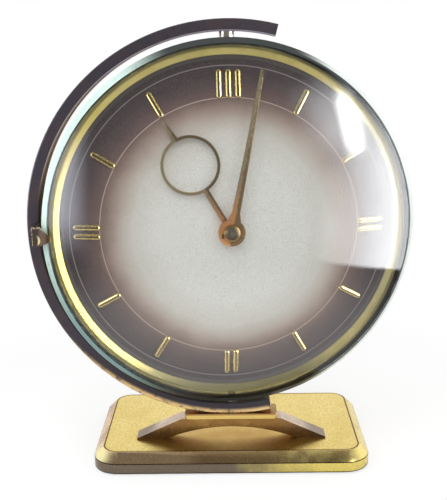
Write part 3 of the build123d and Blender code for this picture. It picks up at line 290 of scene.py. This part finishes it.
def arm_patina():
    """Darkened bronze with reddish specks, darker towards the bottom, and a worn lower edge. The side facing
    the case is painted darker as shade, and pale lilac high up as a painted reflection.
    """
    p = Paint("arm_patina")
    up = p.minus(p.z, AXIS_Z)
    radius = p.length(p.x, up)
    cloud = p.noise(0.09, 6.0, 0.7)
    fine = p.noise(2.4, 4.0, 0.65)
    tone = p.blend(p.ramp(cloud, 0.4, 0.7), srgb(78, 75, 84), srgb(90, 78, 82))
    tone = p.blend(p.ramp(fine, 0.55, 0.72, 0.0, 0.6), tone, srgb(114, 96, 94))
    tone = p.blend(p.ramp(p.noise(0.8, 3.0), 0.62, 0.7, 0.0, 0.6), tone, srgb(52, 49, 54))
    low = p.ramp(up, -34.0, -70.0)
    edge = p.ramp(p.plus(radius, p.times(low, 1.6)), 77.6, 79.4)
    tone = p.blend(p.times(low, 0.7), tone, srgb(52, 49, 55))
    worn = p.times(low, edge, p.ramp(p.noise(0.4, 5.0), 0.3, 0.52))
    tone = p.blend(worn, tone, srgb(228, 194, 138))
    # Painted shade: the side facing the case is darker than the front
    side = p.ramp(radius, ARM_INNER + 0.1, ARM_INNER - 0.1)
    tone = p.blend(side, tone, srgb(58, 55, 60))
    # Painted reflection: that side is pale lilac high up
    inner = p.times(side, p.ramp(up, 8.0, 34.0))
    tone = p.blend(inner, tone, srgb(188, 182, 198))
    return p.surface(p.shader(
        Base_Color=tone, Metallic=p.plus(0.75, p.times(side, -0.6)),
        Roughness=p.plus(p.ramp(fine, 0.3, 0.7, 0.36, 0.5), p.times(side, 0.1), p.times(worn, -0.1)),
        Normal=p.bump(fine, 0.012),
    ))


def base_brass():
    """Grainy tarnished top with a thin brown line round it, and painted shade with a brown painted reflection
    of the bridge by the bridge foot; polished bevels with painted reflections, a dark painted reflection in
    the middle of the front and a painted highlight at the left front corner; a plinth with a painted
    reflection, dark olive on the left and bright gold on the right.
    """
    p = Paint("base_brass")
    fine = p.noise(1.3, 5.0, 0.75)
    grain = p.cells(1.1)
    cloud = p.noise(0.07, 5.0, 0.6)
    top = p.ramp(p.normal_z, 0.8, 0.95)
    side = p.ramp(p.normal_z, 0.45, 0.2)
    out_x = p.most(p.minus(p.absolute(p.x), TOP_HALF_X - TOP_CORNER), 0.0)
    away_y = p.absolute(p.minus(p.y, BASE_MIDDLE_Y))
    out_y = p.most(p.minus(away_y, TOP_HALF_Y - TOP_CORNER), 0.0)
    border = p.minus(p.length(out_x, out_y), TOP_CORNER)
    line = p.times(top, p.band(border, -0.55, 0.22, 0.18))
    gold = p.blend(p.ramp(cloud, 0.35, 0.7), srgb(252, 232, 150), srgb(240, 216, 128))
    gold = p.blend(p.ramp(fine, 0.44, 0.6, 0.0, 0.8), gold, srgb(214, 182, 98))
    gold = p.blend(p.ramp(grain, 0.26, 0.08, 0.0, 0.6), gold, srgb(150, 112, 54))
    spots = p.times(p.ramp(p.noise(0.35, 4.0, 0.7), 0.62, 0.7), p.ramp(p.x, -10.0, 50.0, 0.25, 0.8))
    gold = p.blend(spots, gold, srgb(186, 146, 74))
    # Painted shade and a brown painted reflection of the bridge on the top, under and in front of the bridge
    # foot, mottled by clouds
    bridge_shade_and_reflection = p.times(
        p.ramp(p.absolute(p.x), 38.0, 12.0), p.ramp(p.y, 18.0, 0.0),
        p.ramp(p.y, -14.0, -5.0, 0.45, 1.0), p.ramp(cloud, 0.3, 0.6, 0.65, 0.85),
    )
    gold = p.blend(bridge_shade_and_reflection, gold, srgb(184, 137, 60))
    # Painted reflection on the bevels: pinkish on the left, bright yellow on the right
    rightward_reflection = p.ramp(p.plus(p.x, p.times(cloud, 30.0)), -20.0, 60.0)
    slope = p.blend(rightward_reflection, srgb(236, 202, 158), srgb(255, 234, 148))
    # Painted reflection: a dark red-brown mark in the middle of the front bevel, joined with clouds of real
    # tarnish
    reflection_patch = p.times(p.band(p.x, 2.0, 12.0, 12.0), p.ramp(p.y, -14.0, -17.0))
    slope = p.blend(p.times(p.most(reflection_patch, p.ramp(cloud, 0.48, 0.66)), 0.6), slope, srgb(150, 104, 76))
    # Painted highlight at the left front corner of the bevel
    left_corner_highlight = p.times(p.ramp(p.x, -46.0, -52.0), p.ramp(p.y, -4.0, -12.0), 0.9)
    slope = p.blend(left_corner_highlight, slope, srgb(255, 246, 186))
    # Painted reflection on the plinth: dark olive on the left, bright gold on the right
    plinth_reflection = p.ramp(p.plus(p.x, p.times(p.minus(cloud, 0.5), 60.0)), -4.0, 44.0)
    plinth = p.blend(plinth_reflection, srgb(114, 103, 89), srgb(222, 202, 112))
    plinth = p.blend(p.ramp(fine, 0.55, 0.75, 0.0, 0.55), plinth, srgb(98, 82, 56))
    seam = p.most(p.band(p.z, 4.75, 0.12, 0.12), p.band(p.z, 0.7, 0.2, 0.15))
    tone = p.blend(top, slope, gold)
    tone = p.blend(side, tone, plinth)
    tone = p.blend(line, tone, srgb(112, 80, 48))
    tone = p.blend(p.times(seam, p.ramp(p.normal_z, 0.9, 0.8)), tone, srgb(52, 40, 30))
    return p.surface(p.shader(
        Base_Color=tone, Metallic=1.0,
        Roughness=p.plus(p.ramp(fine, 0.3, 0.7, 0.2, 0.3), p.times(top, 0.06)),
        Normal=p.bump(p.plus(fine, p.times(grain, 0.6)), p.times(p.plus(top, 0.06), 0.02)),
    ))


def bridge_bronze():
    """Copper-brown front darker towards the ends, and slopes painted pale lilac-grey as a reflection of the
    bright room, darker towards the ends.
    """
    p = Paint("bridge_bronze")
    fine = p.noise(2.2, 4.0, 0.65)
    cloud = p.noise(0.15, 5.0, 0.6)
    reach = p.ramp(p.absolute(p.x), 16.0, 36.0)
    face = p.blend(reach, srgb(150, 112, 62), srgb(130, 102, 82))
    face = p.blend(p.ramp(cloud, 0.45, 0.7, 0.0, 0.6), face, srgb(178, 140, 82))
    # Painted reflection: slopes pale lilac-grey, darker towards the ends
    slope = p.blend(p.ramp(cloud, 0.35, 0.7), srgb(214, 196, 176), srgb(194, 172, 152))
    slope = p.blend(p.ramp(reach, 0.7, 1.0, 0.0, 0.7), slope, srgb(104, 84, 72))
    tone = p.blend(p.ramp(p.normal_z, 0.3, 0.6), face, slope)
    tone = p.blend(p.ramp(fine, 0.6, 0.8, 0.0, 0.25), tone, srgb(110, 82, 62))
    return p.surface(p.shader(
        Base_Color=tone, Metallic=1.0,
        Roughness=p.ramp(fine, 0.3, 0.7, 0.24, 0.34),
        Normal=p.bump(fine, 0.002),
    ))


def plate_brass():
    """Polished gold sides and a top painted brown as shade under the arm."""
    p = Paint("plate_brass")
    fine = p.noise(3.0, 4.0, 0.65)
    # Painted shade: the top, under the arm, is brown
    tone = p.blend(p.ramp(p.z, 18.8, 19.1), srgb(218, 189, 112), srgb(172, 134, 84))
    tone = p.blend(p.ramp(fine, 0.58, 0.76, 0.0, 0.5), tone, srgb(150, 112, 62))
    return p.surface(p.shader(
        Base_Color=tone, Metallic=1.0,
        Roughness=p.ramp(fine, 0.3, 0.7, 0.18, 0.3),
        Normal=p.bump(fine, 0.008),
    ))


def glass():
    """Clear dome that only mirrors, with a frosted green ground edge painted with light and shade, and small
    chips.
    """
    p = Paint("glass")
    across, upward, radius = p.case_plane()
    facing = p.add("ShaderNodeLayerWeight")
    facing.inputs["Blend"].default_value = 0.5
    mirror = p.plus(p.times(p.math("POWER", facing.outputs["Facing"], 5.0), 0.9), 0.04)
    clear = p.add("ShaderNodeBsdfTransparent")
    clear.inputs["Color"].default_value = (0.985, 0.99, 0.985, 1.0)
    shine = p.add("ShaderNodeBsdfGlossy")
    shine.inputs["Color"].default_value = (1.0, 1.0, 1.0, 1.0)
    shine.inputs["Roughness"].default_value = 0.03
    dome = p.mix(mirror, clear.outputs[0], shine.outputs[0])
    fine = p.noise(3.0, 4.0, 0.7)
    sine = p.over(across, radius)
    # Painted light and shade on the ground edge: mint on the left and cream on the right where the light
    # falls, dark at top and bottom, and darker teal towards the bottom
    left = p.ramp(sine, -0.3, -0.62)
    right = p.ramp(sine, 0.34, 0.6)
    mint = p.blend(p.ramp(fine, 0.35, 0.65), srgb(222, 243, 234), srgb(190, 218, 208))
    mint = p.blend(p.ramp(upward, 0.0, -44.0), mint, srgb(112, 146, 144))
    edge_light_and_chips = p.blend(left, srgb(52, 56, 55), mint)
    cream = p.blend(p.ramp(fine, 0.35, 0.65), srgb(240, 244, 238), srgb(222, 232, 226))
    edge_light_and_chips = p.blend(p.times(right, p.ramp(radius, GROUND_EDGE + 0.7, GROUND_EDGE + 1.0)), edge_light_and_chips, cream)
    chips = p.ramp(p.noise(0.7, 5.0, 0.75), 0.63, 0.67)
    edge_light_and_chips = p.blend(p.times(chips, p.most(left, p.times(right, 0.6))), edge_light_and_chips, srgb(88, 88, 62))
    ground = p.shader(
        Base_Color=edge_light_and_chips, Metallic=0.0, Roughness=0.3,
        Normal=p.bump(fine, 0.03),
    )
    return p.surface(p.mix(p.ramp(radius, GROUND_EDGE - 0.06, GROUND_EDGE + 0.04), dome, ground))


def gasket():
    """Black seal, with a painted olive reflection where it shows under the ground edge."""
    p = Paint("gasket")
    across, _, radius = p.case_plane()
    fine = p.noise(1.8, 4.0, 0.6)
    # Painted reflection: olive where the seal shows under the ground edge, narrower on the right
    olive = p.blend(p.ramp(fine, 0.3, 0.7), srgb(186, 174, 108), srgb(166, 156, 98))
    inward = p.plus(radius, p.ramp(p.over(across, radius), 0.2, 0.6, 0.0, 0.5))
    tone = p.blend(p.ramp(inward, 68.8, 69.4), olive, srgb(104, 98, 72))
    tone = p.blend(p.ramp(inward, 69.4, 69.65), tone, srgb(28, 28, 26))
    return p.surface(p.shader(
        Base_Color=tone, Metallic=0.0, Roughness=p.ramp(fine, 0.3, 0.7, 0.45, 0.7),
        Normal=p.bump(fine, 0.02),
    ))


def dial_face():
    """Silver middle fading through brown to a dark edge, with two fine pale circles."""
    p = Paint("dial_face")
    _, upward, radius = p.case_plane()
    cloud = p.noise(0.05, 4.0, 0.6)
    fine = p.noise(2.2, 5.0, 0.75)
    speck = p.noise(1.4, 2.0, 0.5)
    wavy = p.plus(radius, p.times(p.minus(cloud, 0.5), 6.0), p.times(upward, 0.02))
    tone = p.stops(
        wavy,
        (0.0, srgb(224, 224, 220)), (28.0, srgb(220, 219, 214)), (38.0, srgb(205, 201, 194)),
        (42.0, srgb(186, 175, 166)), (45.0, srgb(164, 146, 136)), (48.0, srgb(132, 112, 103)),
        (51.0, srgb(102, 82, 78)), (55.5, srgb(80, 64, 65)), (60.0, srgb(63, 50, 54)),
        (70.0, srgb(58, 48, 52)),
    )
    grain = p.times(p.ramp(fine, 0.46, 0.66, 0.0, 0.5), p.ramp(radius, 52.0, 40.0, 0.3, 1.0))
    tone = p.blend(grain, tone, srgb(164, 159, 152))
    tone = p.blend(p.ramp(speck, 0.74, 0.79, 0.0, 0.5), tone, srgb(96, 84, 76))
    tone = p.blend(p.times(p.band(radius, INNER_CIRCLE, 0.13, 0.1), 0.6), tone, srgb(206, 182, 170))
    tone = p.blend(p.times(p.band(radius, OUTER_CIRCLE, 0.12, 0.1), 0.42), tone, srgb(190, 182, 178))
    tone = p.blend(p.ramp(radius, DIAL_RIM - 0.1, DIAL_RIM + 0.1), tone, srgb(84, 78, 78))
    return p.surface(p.shader(
        Base_Color=tone, Metallic=0.0, Roughness=p.ramp(fine, 0.3, 0.7, 0.55, 0.7), Specular_Ior_Level=0.15,
        Normal=p.bump(fine, 0.006),
    ))


def gilt_ring():
    """Pale gold reflector ring with duller rims and faint stains, painted darker and greyer lower down and on
    the right as shade, and a deeper gold on the left.
    """
    p = Paint("ring_gilt")
    across, upward, radius = p.case_plane()
    stain = p.noise(0.12, 4.0, 0.6)
    fine = p.noise(2.0, 3.0, 0.6)
    tone = p.blend(p.ramp(stain, 0.42, 0.7, 0.0, 0.6), srgb(232, 216, 142), srgb(208, 190, 112))
    rims = p.ramp(p.absolute(p.minus(radius, RING_MIDDLE)), 0.9, 1.4, 0.0, 0.7)
    tone = p.blend(rims, tone, srgb(190, 172, 100))
    tone = p.blend(p.ramp(fine, 0.6, 0.75, 0.0, 0.3), tone, srgb(180, 156, 90))
    # Painted shade: darker and greyer lower down and on the right; a deeper gold on the left
    below = p.ramp(p.plus(upward, p.times(stain, 16.0)), -42.0, -56.0, 0.0, 0.75)
    tone = p.blend(below, tone, srgb(122, 118, 94))
    tone = p.blend(p.ramp(across, 46.0, 62.0, 0.0, 0.6), tone, srgb(148, 140, 110))
    tone = p.blend(p.ramp(across, -40.0, -58.0, 0.0, 0.8), tone, srgb(226, 207, 114))
    return p.surface(p.shader(
        Base_Color=tone, Metallic=0.85, Roughness=p.ramp(fine, 0.3, 0.7, 0.34, 0.44),
        Normal=p.bump(fine, 0.002),
    ))


def gilt_bars():
    """Polished gilt with bright flanks and ends, and a crest painted darker as a reflection of the dim room
    in front.
    """
    p = Paint("bars_gilt")
    fine = p.noise(1.6, 3.0, 0.6)
    outward = p.minus(p.times(p.normal_x, math.sin(CASE_YAW)), p.times(p.normal_y, math.cos(CASE_YAW)))
    tone = p.blend(p.ramp(fine, 0.4, 0.7, 0.0, 0.6), srgb(242, 221, 156), srgb(222, 195, 120))
    # Painted reflection: the crest, which faces the front, darkened as a mirror of the dim room
    tone = p.blend(p.ramp(outward, 0.84, 0.97, 0.0, 0.92), tone, srgb(110, 86, 40))
    return p.surface(p.shader(
        Base_Color=tone, Metallic=0.9, Roughness=p.ramp(fine, 0.3, 0.7, 0.2, 0.3),
        Normal=p.bump(fine, 0.002),
    ))


def stop_bronze():
    """Polished dark bronze, painted with the light and shade of facets: darker on the left, lighter towards
    the middle and brown on the nose, with a painted gold highlight down its front and painted pale highlights
    on its rim.
    """
    p = Paint("stop_bronze")
    fine = p.noise(1.6, 3.0, 0.6)
    # Painted light and shade of facets the flat front lacks: darker on the left, lighter towards the middle,
    # brown on the nose
    tone = p.blend(p.ramp(p.x, -71.9, -70.4), srgb(128, 114, 112), srgb(196, 166, 148))
    tone = p.blend(p.ramp(p.x, -69.4, -68.2, 0.0, 0.8), tone, srgb(112, 84, 70))
    tone = p.blend(p.ramp(fine, 0.56, 0.74, 0.0, 0.5), tone, srgb(70, 60, 58))
    height = p.minus(p.z, STOP_Z)
    bow = p.plus(p.x, p.times(height, height, 0.16))
    # Painted highlights: a curved gold one down the front, and pale ones on the left edge and the top rim
    streak_highlight = p.times(p.band(bow, -71.3, 0.1, 0.6), p.band(p.z, STOP_Z, 0.6, 1.9))
    outline = p.most(p.band(p.x, -73.8, 0.05, 0.25), p.ramp(p.z, 100.7, 101.3))
    rim = p.times(outline, p.ramp(fine, 0.65, 0.45), p.ramp(p.normal_z, 0.6, 0.3))
    painted_highlights = p.most(streak_highlight, p.times(rim, 0.7))
    tone = p.blend(painted_highlights, tone, srgb(255, 232, 172))
    return p.surface(p.shader(
        Base_Color=tone, Metallic=p.plus(1.0, p.times(painted_highlights, -0.8)),
        Roughness=p.ramp(fine, 0.3, 0.7, 0.14, 0.26),
        Normal=p.bump(fine, 0.006),
    ))


def hand_copper(name, clock_angle):
    """Copper by the hub, a duller bronze towards the tip, painted shade on the side to the right of the
    hand's length, and a dark slot by the hub painted as shade.
    """
    p = Paint(name)
    across, upward, radius = p.case_plane()
    fine = p.noise(2.4, 4.0, 0.65)
    tone = p.stops(
        radius,
        (0.0, srgb(238, 164, 98)), (7.0, srgb(232, 164, 104)), (12.0, srgb(212, 164, 120)),
        (18.0, srgb(184, 158, 124)), (30.0, srgb(182, 166, 134)), (62.0, srgb(184, 168, 134)),
    )
    turn = math.radians(clock_angle)
    offset = p.minus(p.times(across, math.cos(turn)), p.times(upward, math.sin(turn)))
    # Painted shade on the side to the right of the hand's length
    shaded_side = p.ramp(p.plus(offset, p.times(p.minus(p.noise(0.5, 4.0), 0.5), 2.0)), -0.3, 0.5)
    tone = p.blend(p.times(shaded_side, 0.85), tone, srgb(120, 102, 72))
    # Painted shade: a dark slot beside the hub, where no hole is modelled
    slot_shade = p.times(p.band(across, -3.4, 0.35, 0.15), p.band(upward, -1.2, 0.75, 0.2))
    tone = p.blend(p.times(slot_shade, 0.85), tone, srgb(46, 32, 24))
    tone = p.blend(p.ramp(fine, 0.52, 0.75, 0.0, 0.5), tone, srgb(110, 88, 64))
    return p.surface(p.shader(
        Base_Color=tone, Metallic=0.85, Roughness=p.ramp(fine, 0.3, 0.7, 0.26, 0.4),
        Normal=p.bump(fine, 0.01),
    ))


def felt_cloth():
    """Dark green pressed felt with loose fibres."""
    p = Paint("felt_cloth")
    fibre = p.noise(3.5, 6.0, 0.75)
    cloud = p.noise(0.12, 4.0, 0.6)
    tone = p.blend(p.ramp(cloud, 0.35, 0.7), srgb(58, 84, 62), srgb(44, 66, 50))
    tone = p.blend(p.ramp(fibre, 0.48, 0.7, 0.0, 0.7), tone, srgb(92, 116, 92))
    return p.surface(p.shader(
        Base_Color=tone, Metallic=0.0, Roughness=0.95, Sheen_Weight=0.4,
        Normal=p.bump(fibre, 0.12),
    ))


paints = {
    "base_brass": base_brass(),
    "ballast_iron": metal(
        "ballast_iron", (92, 92, 94), (58, 54, 52), 0.7, per_mm=0.4, pits=0.6, depth=0.05, metallic=0.6),
    "felt": felt_cloth(),
    "bridge_bronze": bridge_bronze(),
    "plate_brass": plate_brass(),
    "arm_bronze": arm_patina(),
    "stop_bronze": stop_bronze(),
    "pivot_steel": metal("pivot_steel", (214, 206, 192), (150, 138, 120), 0.2, per_mm=0.6),
    "screw_steel": metal("screw_steel", (176, 172, 166), (112, 104, 96), 0.3, per_mm=0.8),
    "case_brass": turned("case_brass", (196, 172, 112), (136, 112, 64), 0.34),
    "glass": glass(),
    "gasket_black": gasket(),
    "ring_gilt": gilt_ring(),
    "dial_face": dial_face(),
    "bars_gilt": gilt_bars(),
    "hands_copper": hand_copper("hour_copper", HOUR_ANGLE),
    "boss_copper": turned("boss_copper", (178, 146, 92), (104, 84, 54), 0.3, per_mm=1.4, depth=0.02),
    "nut_bronze": turned("nut_bronze", (128, 114, 88), (40, 32, 24), 0.3, per_mm=1.3, depth=0.05),
    "movement_brass": turned("movement_brass", (214, 186, 116), (168, 136, 76), 0.3),
    "movement_steel": metal("movement_steel", (190, 190, 194), (132, 130, 132), 0.26, per_mm=0.6),
    "spring_steel": metal("spring_steel", (96, 104, 132), (58, 62, 84), 0.28, per_mm=0.6),
    "key_brass": metal("key_brass", (206, 178, 112), (146, 116, 66), 0.32, per_mm=0.3),
}
slots = {entry["node"]: entry["material_slot"] for entry in frame["record"]["subparts"]}
for name, node in nodes.items():
    node.data.materials.clear()
    node.data.materials.append(paints[slots[name]])
nodes["minute_hand"].data.materials[0] = hand_copper("minute_copper", MINUTE_ANGLE)


def ease_edges(name, width):
    """Rounds the sharp edges of a CAD node by a modifier; its mesh stays as packed."""
    weld = nodes[name].modifiers.new("weld", "WELD")
    weld.merge_threshold = WELD_GAP * MM
    bevel = nodes[name].modifiers.new("edges", "BEVEL")
    bevel.width = width * MM
    bevel.segments = 2
    bevel.limit_method = "ANGLE"
    bevel.angle_limit = SHARP_ANGLE
    bevel.harden_normals = True


def felt_sheet():
    """Felt under the base: a rounded sheet, slightly uneven below, inside the room of its CAD node."""
    low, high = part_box("base_felt")
    half_x, half_y = (high.x - low.x) / 2, (high.y - low.y) / 2
    middle = (low + high) / 2
    corner = FELT_CORNER * MM
    columns, rows = FELT_COLUMNS, FELT_ROWS
    mesh = bmesh.new()
    layers = []
    for layer, z in enumerate((low.z, high.z)):
        grid = []
        for row in range(rows + 1):
            line = []
            for column in range(columns + 1):
                x = (2 * column / columns - 1) * half_x
                y = (2 * row / rows - 1) * half_y
                over_x = max(abs(x) - half_x + corner, 0.0)
                over_y = max(abs(y) - half_y + corner, 0.0)
                reach = math.hypot(over_x, over_y)
                if over_x and over_y and reach > corner:
                    x -= math.copysign(over_x * (1 - corner / reach), x)
                    y -= math.copysign(over_y * (1 - corner / reach), y)
                ripple = math.sin(x * FELT_RIPPLE_X) * math.sin(y * FELT_RIPPLE_Y)
                lift = abs(FELT_WAVE * MM * ripple) if layer == 0 else 0.0
                line.append(mesh.verts.new((middle.x + x, middle.y + y, z + lift)))
            grid.append(line)
        layers.append(grid)
    for layer, grid in enumerate(layers):
        for row in range(rows):
            for column in range(columns):
                corners = ((row, column), (row, column + 1), (row + 1, column + 1), (row + 1, column))
                face = [grid[r][c] for r, c in corners]
                mesh.faces.new(face if layer else face[::-1])
    rim = [(0, c) for c in range(columns)] + [(r, columns) for r in range(rows)]
    rim += [(rows, c) for c in range(columns, 0, -1)] + [(r, 0) for r in range(rows, 0, -1)]
    for (r0, c0), (r1, c1) in zip(rim, rim[1:] + rim[:1]):
        mesh.faces.new((layers[0][r0][c0], layers[0][r1][c1], layers[1][r1][c1], layers[1][r0][c0]))
    data = bpy.data.meshes.new("felt_pad")
    mesh.to_mesh(data)
    mesh.free()
    piece = bpy.data.objects.new("felt_pad", data)
    bpy.context.scene.collection.objects.link(piece)
    data.materials.append(paints["felt"])
    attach(piece, "stand")
    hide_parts("base_felt")


felt_sheet()
for eased, edge_width in (
    ("meridian_arm", 0.3), ("base_shell", 0.35), ("bridge_foot", 0.25), ("seat_plate", 0.25),
    ("swivel_stop", 0.3), ("hour_hand", 0.18), ("minute_hand", 0.18),
):
    ease_edges(eased, edge_width)

# Floor: white to the camera, paper to the light, darker further out
floor_mesh = bpy.data.meshes.new("floor")
shape = bmesh.new()
bmesh.ops.create_circle(shape, cap_ends=True, segments=96, radius=FLOOR_RADIUS)
shape.to_mesh(floor_mesh)
shape.free()
floor = bpy.data.objects.new("floor", floor_mesh)
bpy.context.scene.collection.objects.link(floor)
floor.location.z = -FLOOR_DROP
paper = Paint("paper")
away = paper.length(paper.x, paper.minus(paper.y, BASE_MIDDLE_Y))
white = paper.blend(paper.noise(0.004, 3.0), (0.88, 0.88, 0.88, 1.0), (0.92, 0.92, 0.92, 1.0))
matt = paper.add("ShaderNodeBsdfDiffuse")
paper.put(matt.inputs["Color"], paper.blend(paper.ramp(away, 90.0, 270.0), white, (0.2, 0.2, 0.2, 1.0)))
glow = paper.add("ShaderNodeEmission")
glow.inputs["Strength"].default_value = 1.0
to_camera = paper.add("ShaderNodeLightPath").outputs["Is Camera Ray"]
glow_share = paper.times(to_camera, paper.ramp(away, 50.0, 200.0, 0.72, 1.0))
floor_mesh.materials.append(paper.surface(paper.mix(glow_share, matt.outputs[0], glow.outputs[0])))

# World: white to the camera, and otherwise a room that is dim in front and overhead
world = bpy.data.worlds.new("studio")
bpy.context.scene.world = world
world.use_nodes = True
sky = Nodes(world.node_tree)
_, backward, skyward = sky.split(sky.add("ShaderNodeTexCoord").outputs["Generated"])
room = sky.times(
    sky.ramp(backward, -0.55, 0.1, ROOM_FRONT, ROOM_BEHIND),
    sky.ramp(skyward, 0.5, 0.9, 1.0, ROOM_CEILING),
)
background = sky.add("ShaderNodeBackground")
background.inputs["Color"].default_value = (1.0, 1.0, 1.0, 1.0)
to_camera = sky.add("ShaderNodeLightPath").outputs["Is Camera Ray"]
sky.put(background.inputs["Strength"], sky.most(to_camera, room))
sky.put(sky.add("ShaderNodeOutputWorld").inputs["Surface"], background.outputs[0])


def fade(panel, left, right, bottom, top, tint=COOL):
    """Lets a panel's light fall off over a share of its width and height at each edge."""
    panel.data.use_nodes = True
    tree = Nodes(panel.data.node_tree)
    across, upward, _ = tree.split(tree.add("ShaderNodeNewGeometry").outputs["Parametric"])
    emission = tree.add("ShaderNodeEmission")
    emission.inputs["Color"].default_value = (*tint, 1.0)
    tree.put(emission.inputs["Strength"], tree.times(
        tree.ramp(across, 0.0, left), tree.ramp(across, 1.0, 1.0 - right),
        tree.ramp(upward, 0.0, bottom), tree.ramp(upward, 1.0, 1.0 - top),
    ))
    tree.put(tree.add("ShaderNodeOutputLight").inputs[0], emission.outputs[0])


def lamp(name, azimuth, elevation, distance, width, height, radiance,
         mirrored=True, lights=True, upright=False):
    """A soft panel that faces the clock, or stands upright. Azimuth is from the front towards the right."""
    azimuth, elevation = math.radians(azimuth), math.radians(elevation)
    outward = Vector((math.sin(azimuth) * math.cos(elevation), -math.cos(azimuth) * math.cos(elevation),
                      math.sin(elevation)))
    light = bpy.data.lights.new(name, "AREA")
    light.shape = "RECTANGLE"
    light.size, light.size_y = width, height
    light.energy = radiance * math.pi * width * height
    panel = bpy.data.objects.new(name, light)
    bpy.context.scene.collection.objects.link(panel)
    panel.location = LAMP_AIM + outward * distance
    facing = Vector((outward.x, outward.y, 0.0)) if upright else outward
    panel.rotation_euler = facing.to_track_quat("Z", "Y").to_euler()
    panel.visible_camera = False
    panel.visible_glossy = mirrored
    panel.visible_diffuse = lights
    return panel


def keep_off(panel, names):
    """Keeps a panel's mirror image off the named pieces, whose flat faces would wash out from other sides."""
    apart = bpy.data.collections.new(panel.name + "_apart")
    for name in names:
        apart.objects.link(nodes[name])
    for entry in apart.collection_objects:
        entry.light_linking.link_state = "EXCLUDE"
    panel.light_linking.receiver_collection = apart


# Lamps: azimuth, elevation, distance, width, height and radiance. Each one either mirrors or gives light
window_place = (53.5, 20.0, 1.2, 0.2, 0.5, 19.0)
window_edges = (0.4, 0.4, 0.35, 0.35)
window = lamp("window", *window_place, lights=False)
fade(window, *window_edges)
window_light = lamp("window_light", *window_place, mirrored=False)
window_light.visible_transmission = False
fade(window_light, *window_edges)
card = lamp("card", 65.0, 9.2, 0.228, 0.22, 0.269, 13.0, lights=False, upright=True)
fade(card, 0.75, 0.02, 0.02, 0.5)
left_card = lamp("left_card", -72.0, 8.1, 0.26, 0.3, 0.267, 4.5, lights=False, upright=True)
fade(left_card, 0.02, 0.2, 0.34, 0.5, LILAC)
fade(lamp("wall", 48.0, 24.0, 0.6, 0.34, 0.32, 3.8, lights=False), 0.5, 0.3, 0.4, 0.4)
for panel in (window, card, left_card):
    keep_off(panel, ("base_shell", "rear_cover"))
lamp("top_fill", -10.0, 62.0, 1.4, 1.2, 1.2, 2.6, mirrored=False)
lamp("left_fill", -60.0, 25.0, 1.2, 0.8, 0.8, 2.3, mirrored=False)
lamp("front_fill", 5.0, 22.0, 1.2, 0.7, 0.7, 2.2, mirrored=False)

# Camera
yaw, pitch, roll = (math.radians(angle) for angle in CAMERA_ANGLES)
ahead = Vector((math.sin(yaw) * math.cos(pitch), math.cos(yaw) * math.cos(pitch), -math.sin(pitch)))
level = Vector((math.cos(yaw), -math.sin(yaw), 0.0))
above = level.cross(ahead)
image_right = level * math.cos(roll) + above * math.sin(roll)
image_up = above * math.cos(roll) - level * math.sin(roll)
lens = bpy.data.cameras.new("camera")
lens.sensor_fit = "AUTO"
lens.sensor_width = SENSOR
lens.lens = FOCAL_PIXELS / IMAGE_HEIGHT * SENSOR
lens.clip_start = 10.0 * MM
camera = bpy.data.objects.new("camera", lens)
bpy.context.scene.collection.objects.link(camera)
turn = Matrix((image_right, image_up, -ahead)).transposed().to_4x4()
camera.matrix_world = Matrix.Translation(Vector(CAMERA_AT) * MM) @ turn
bpy.context.scene.camera = camera

bpy.context.scene.view_settings.view_transform = "Standard"

bpy.context.view_layer.update()
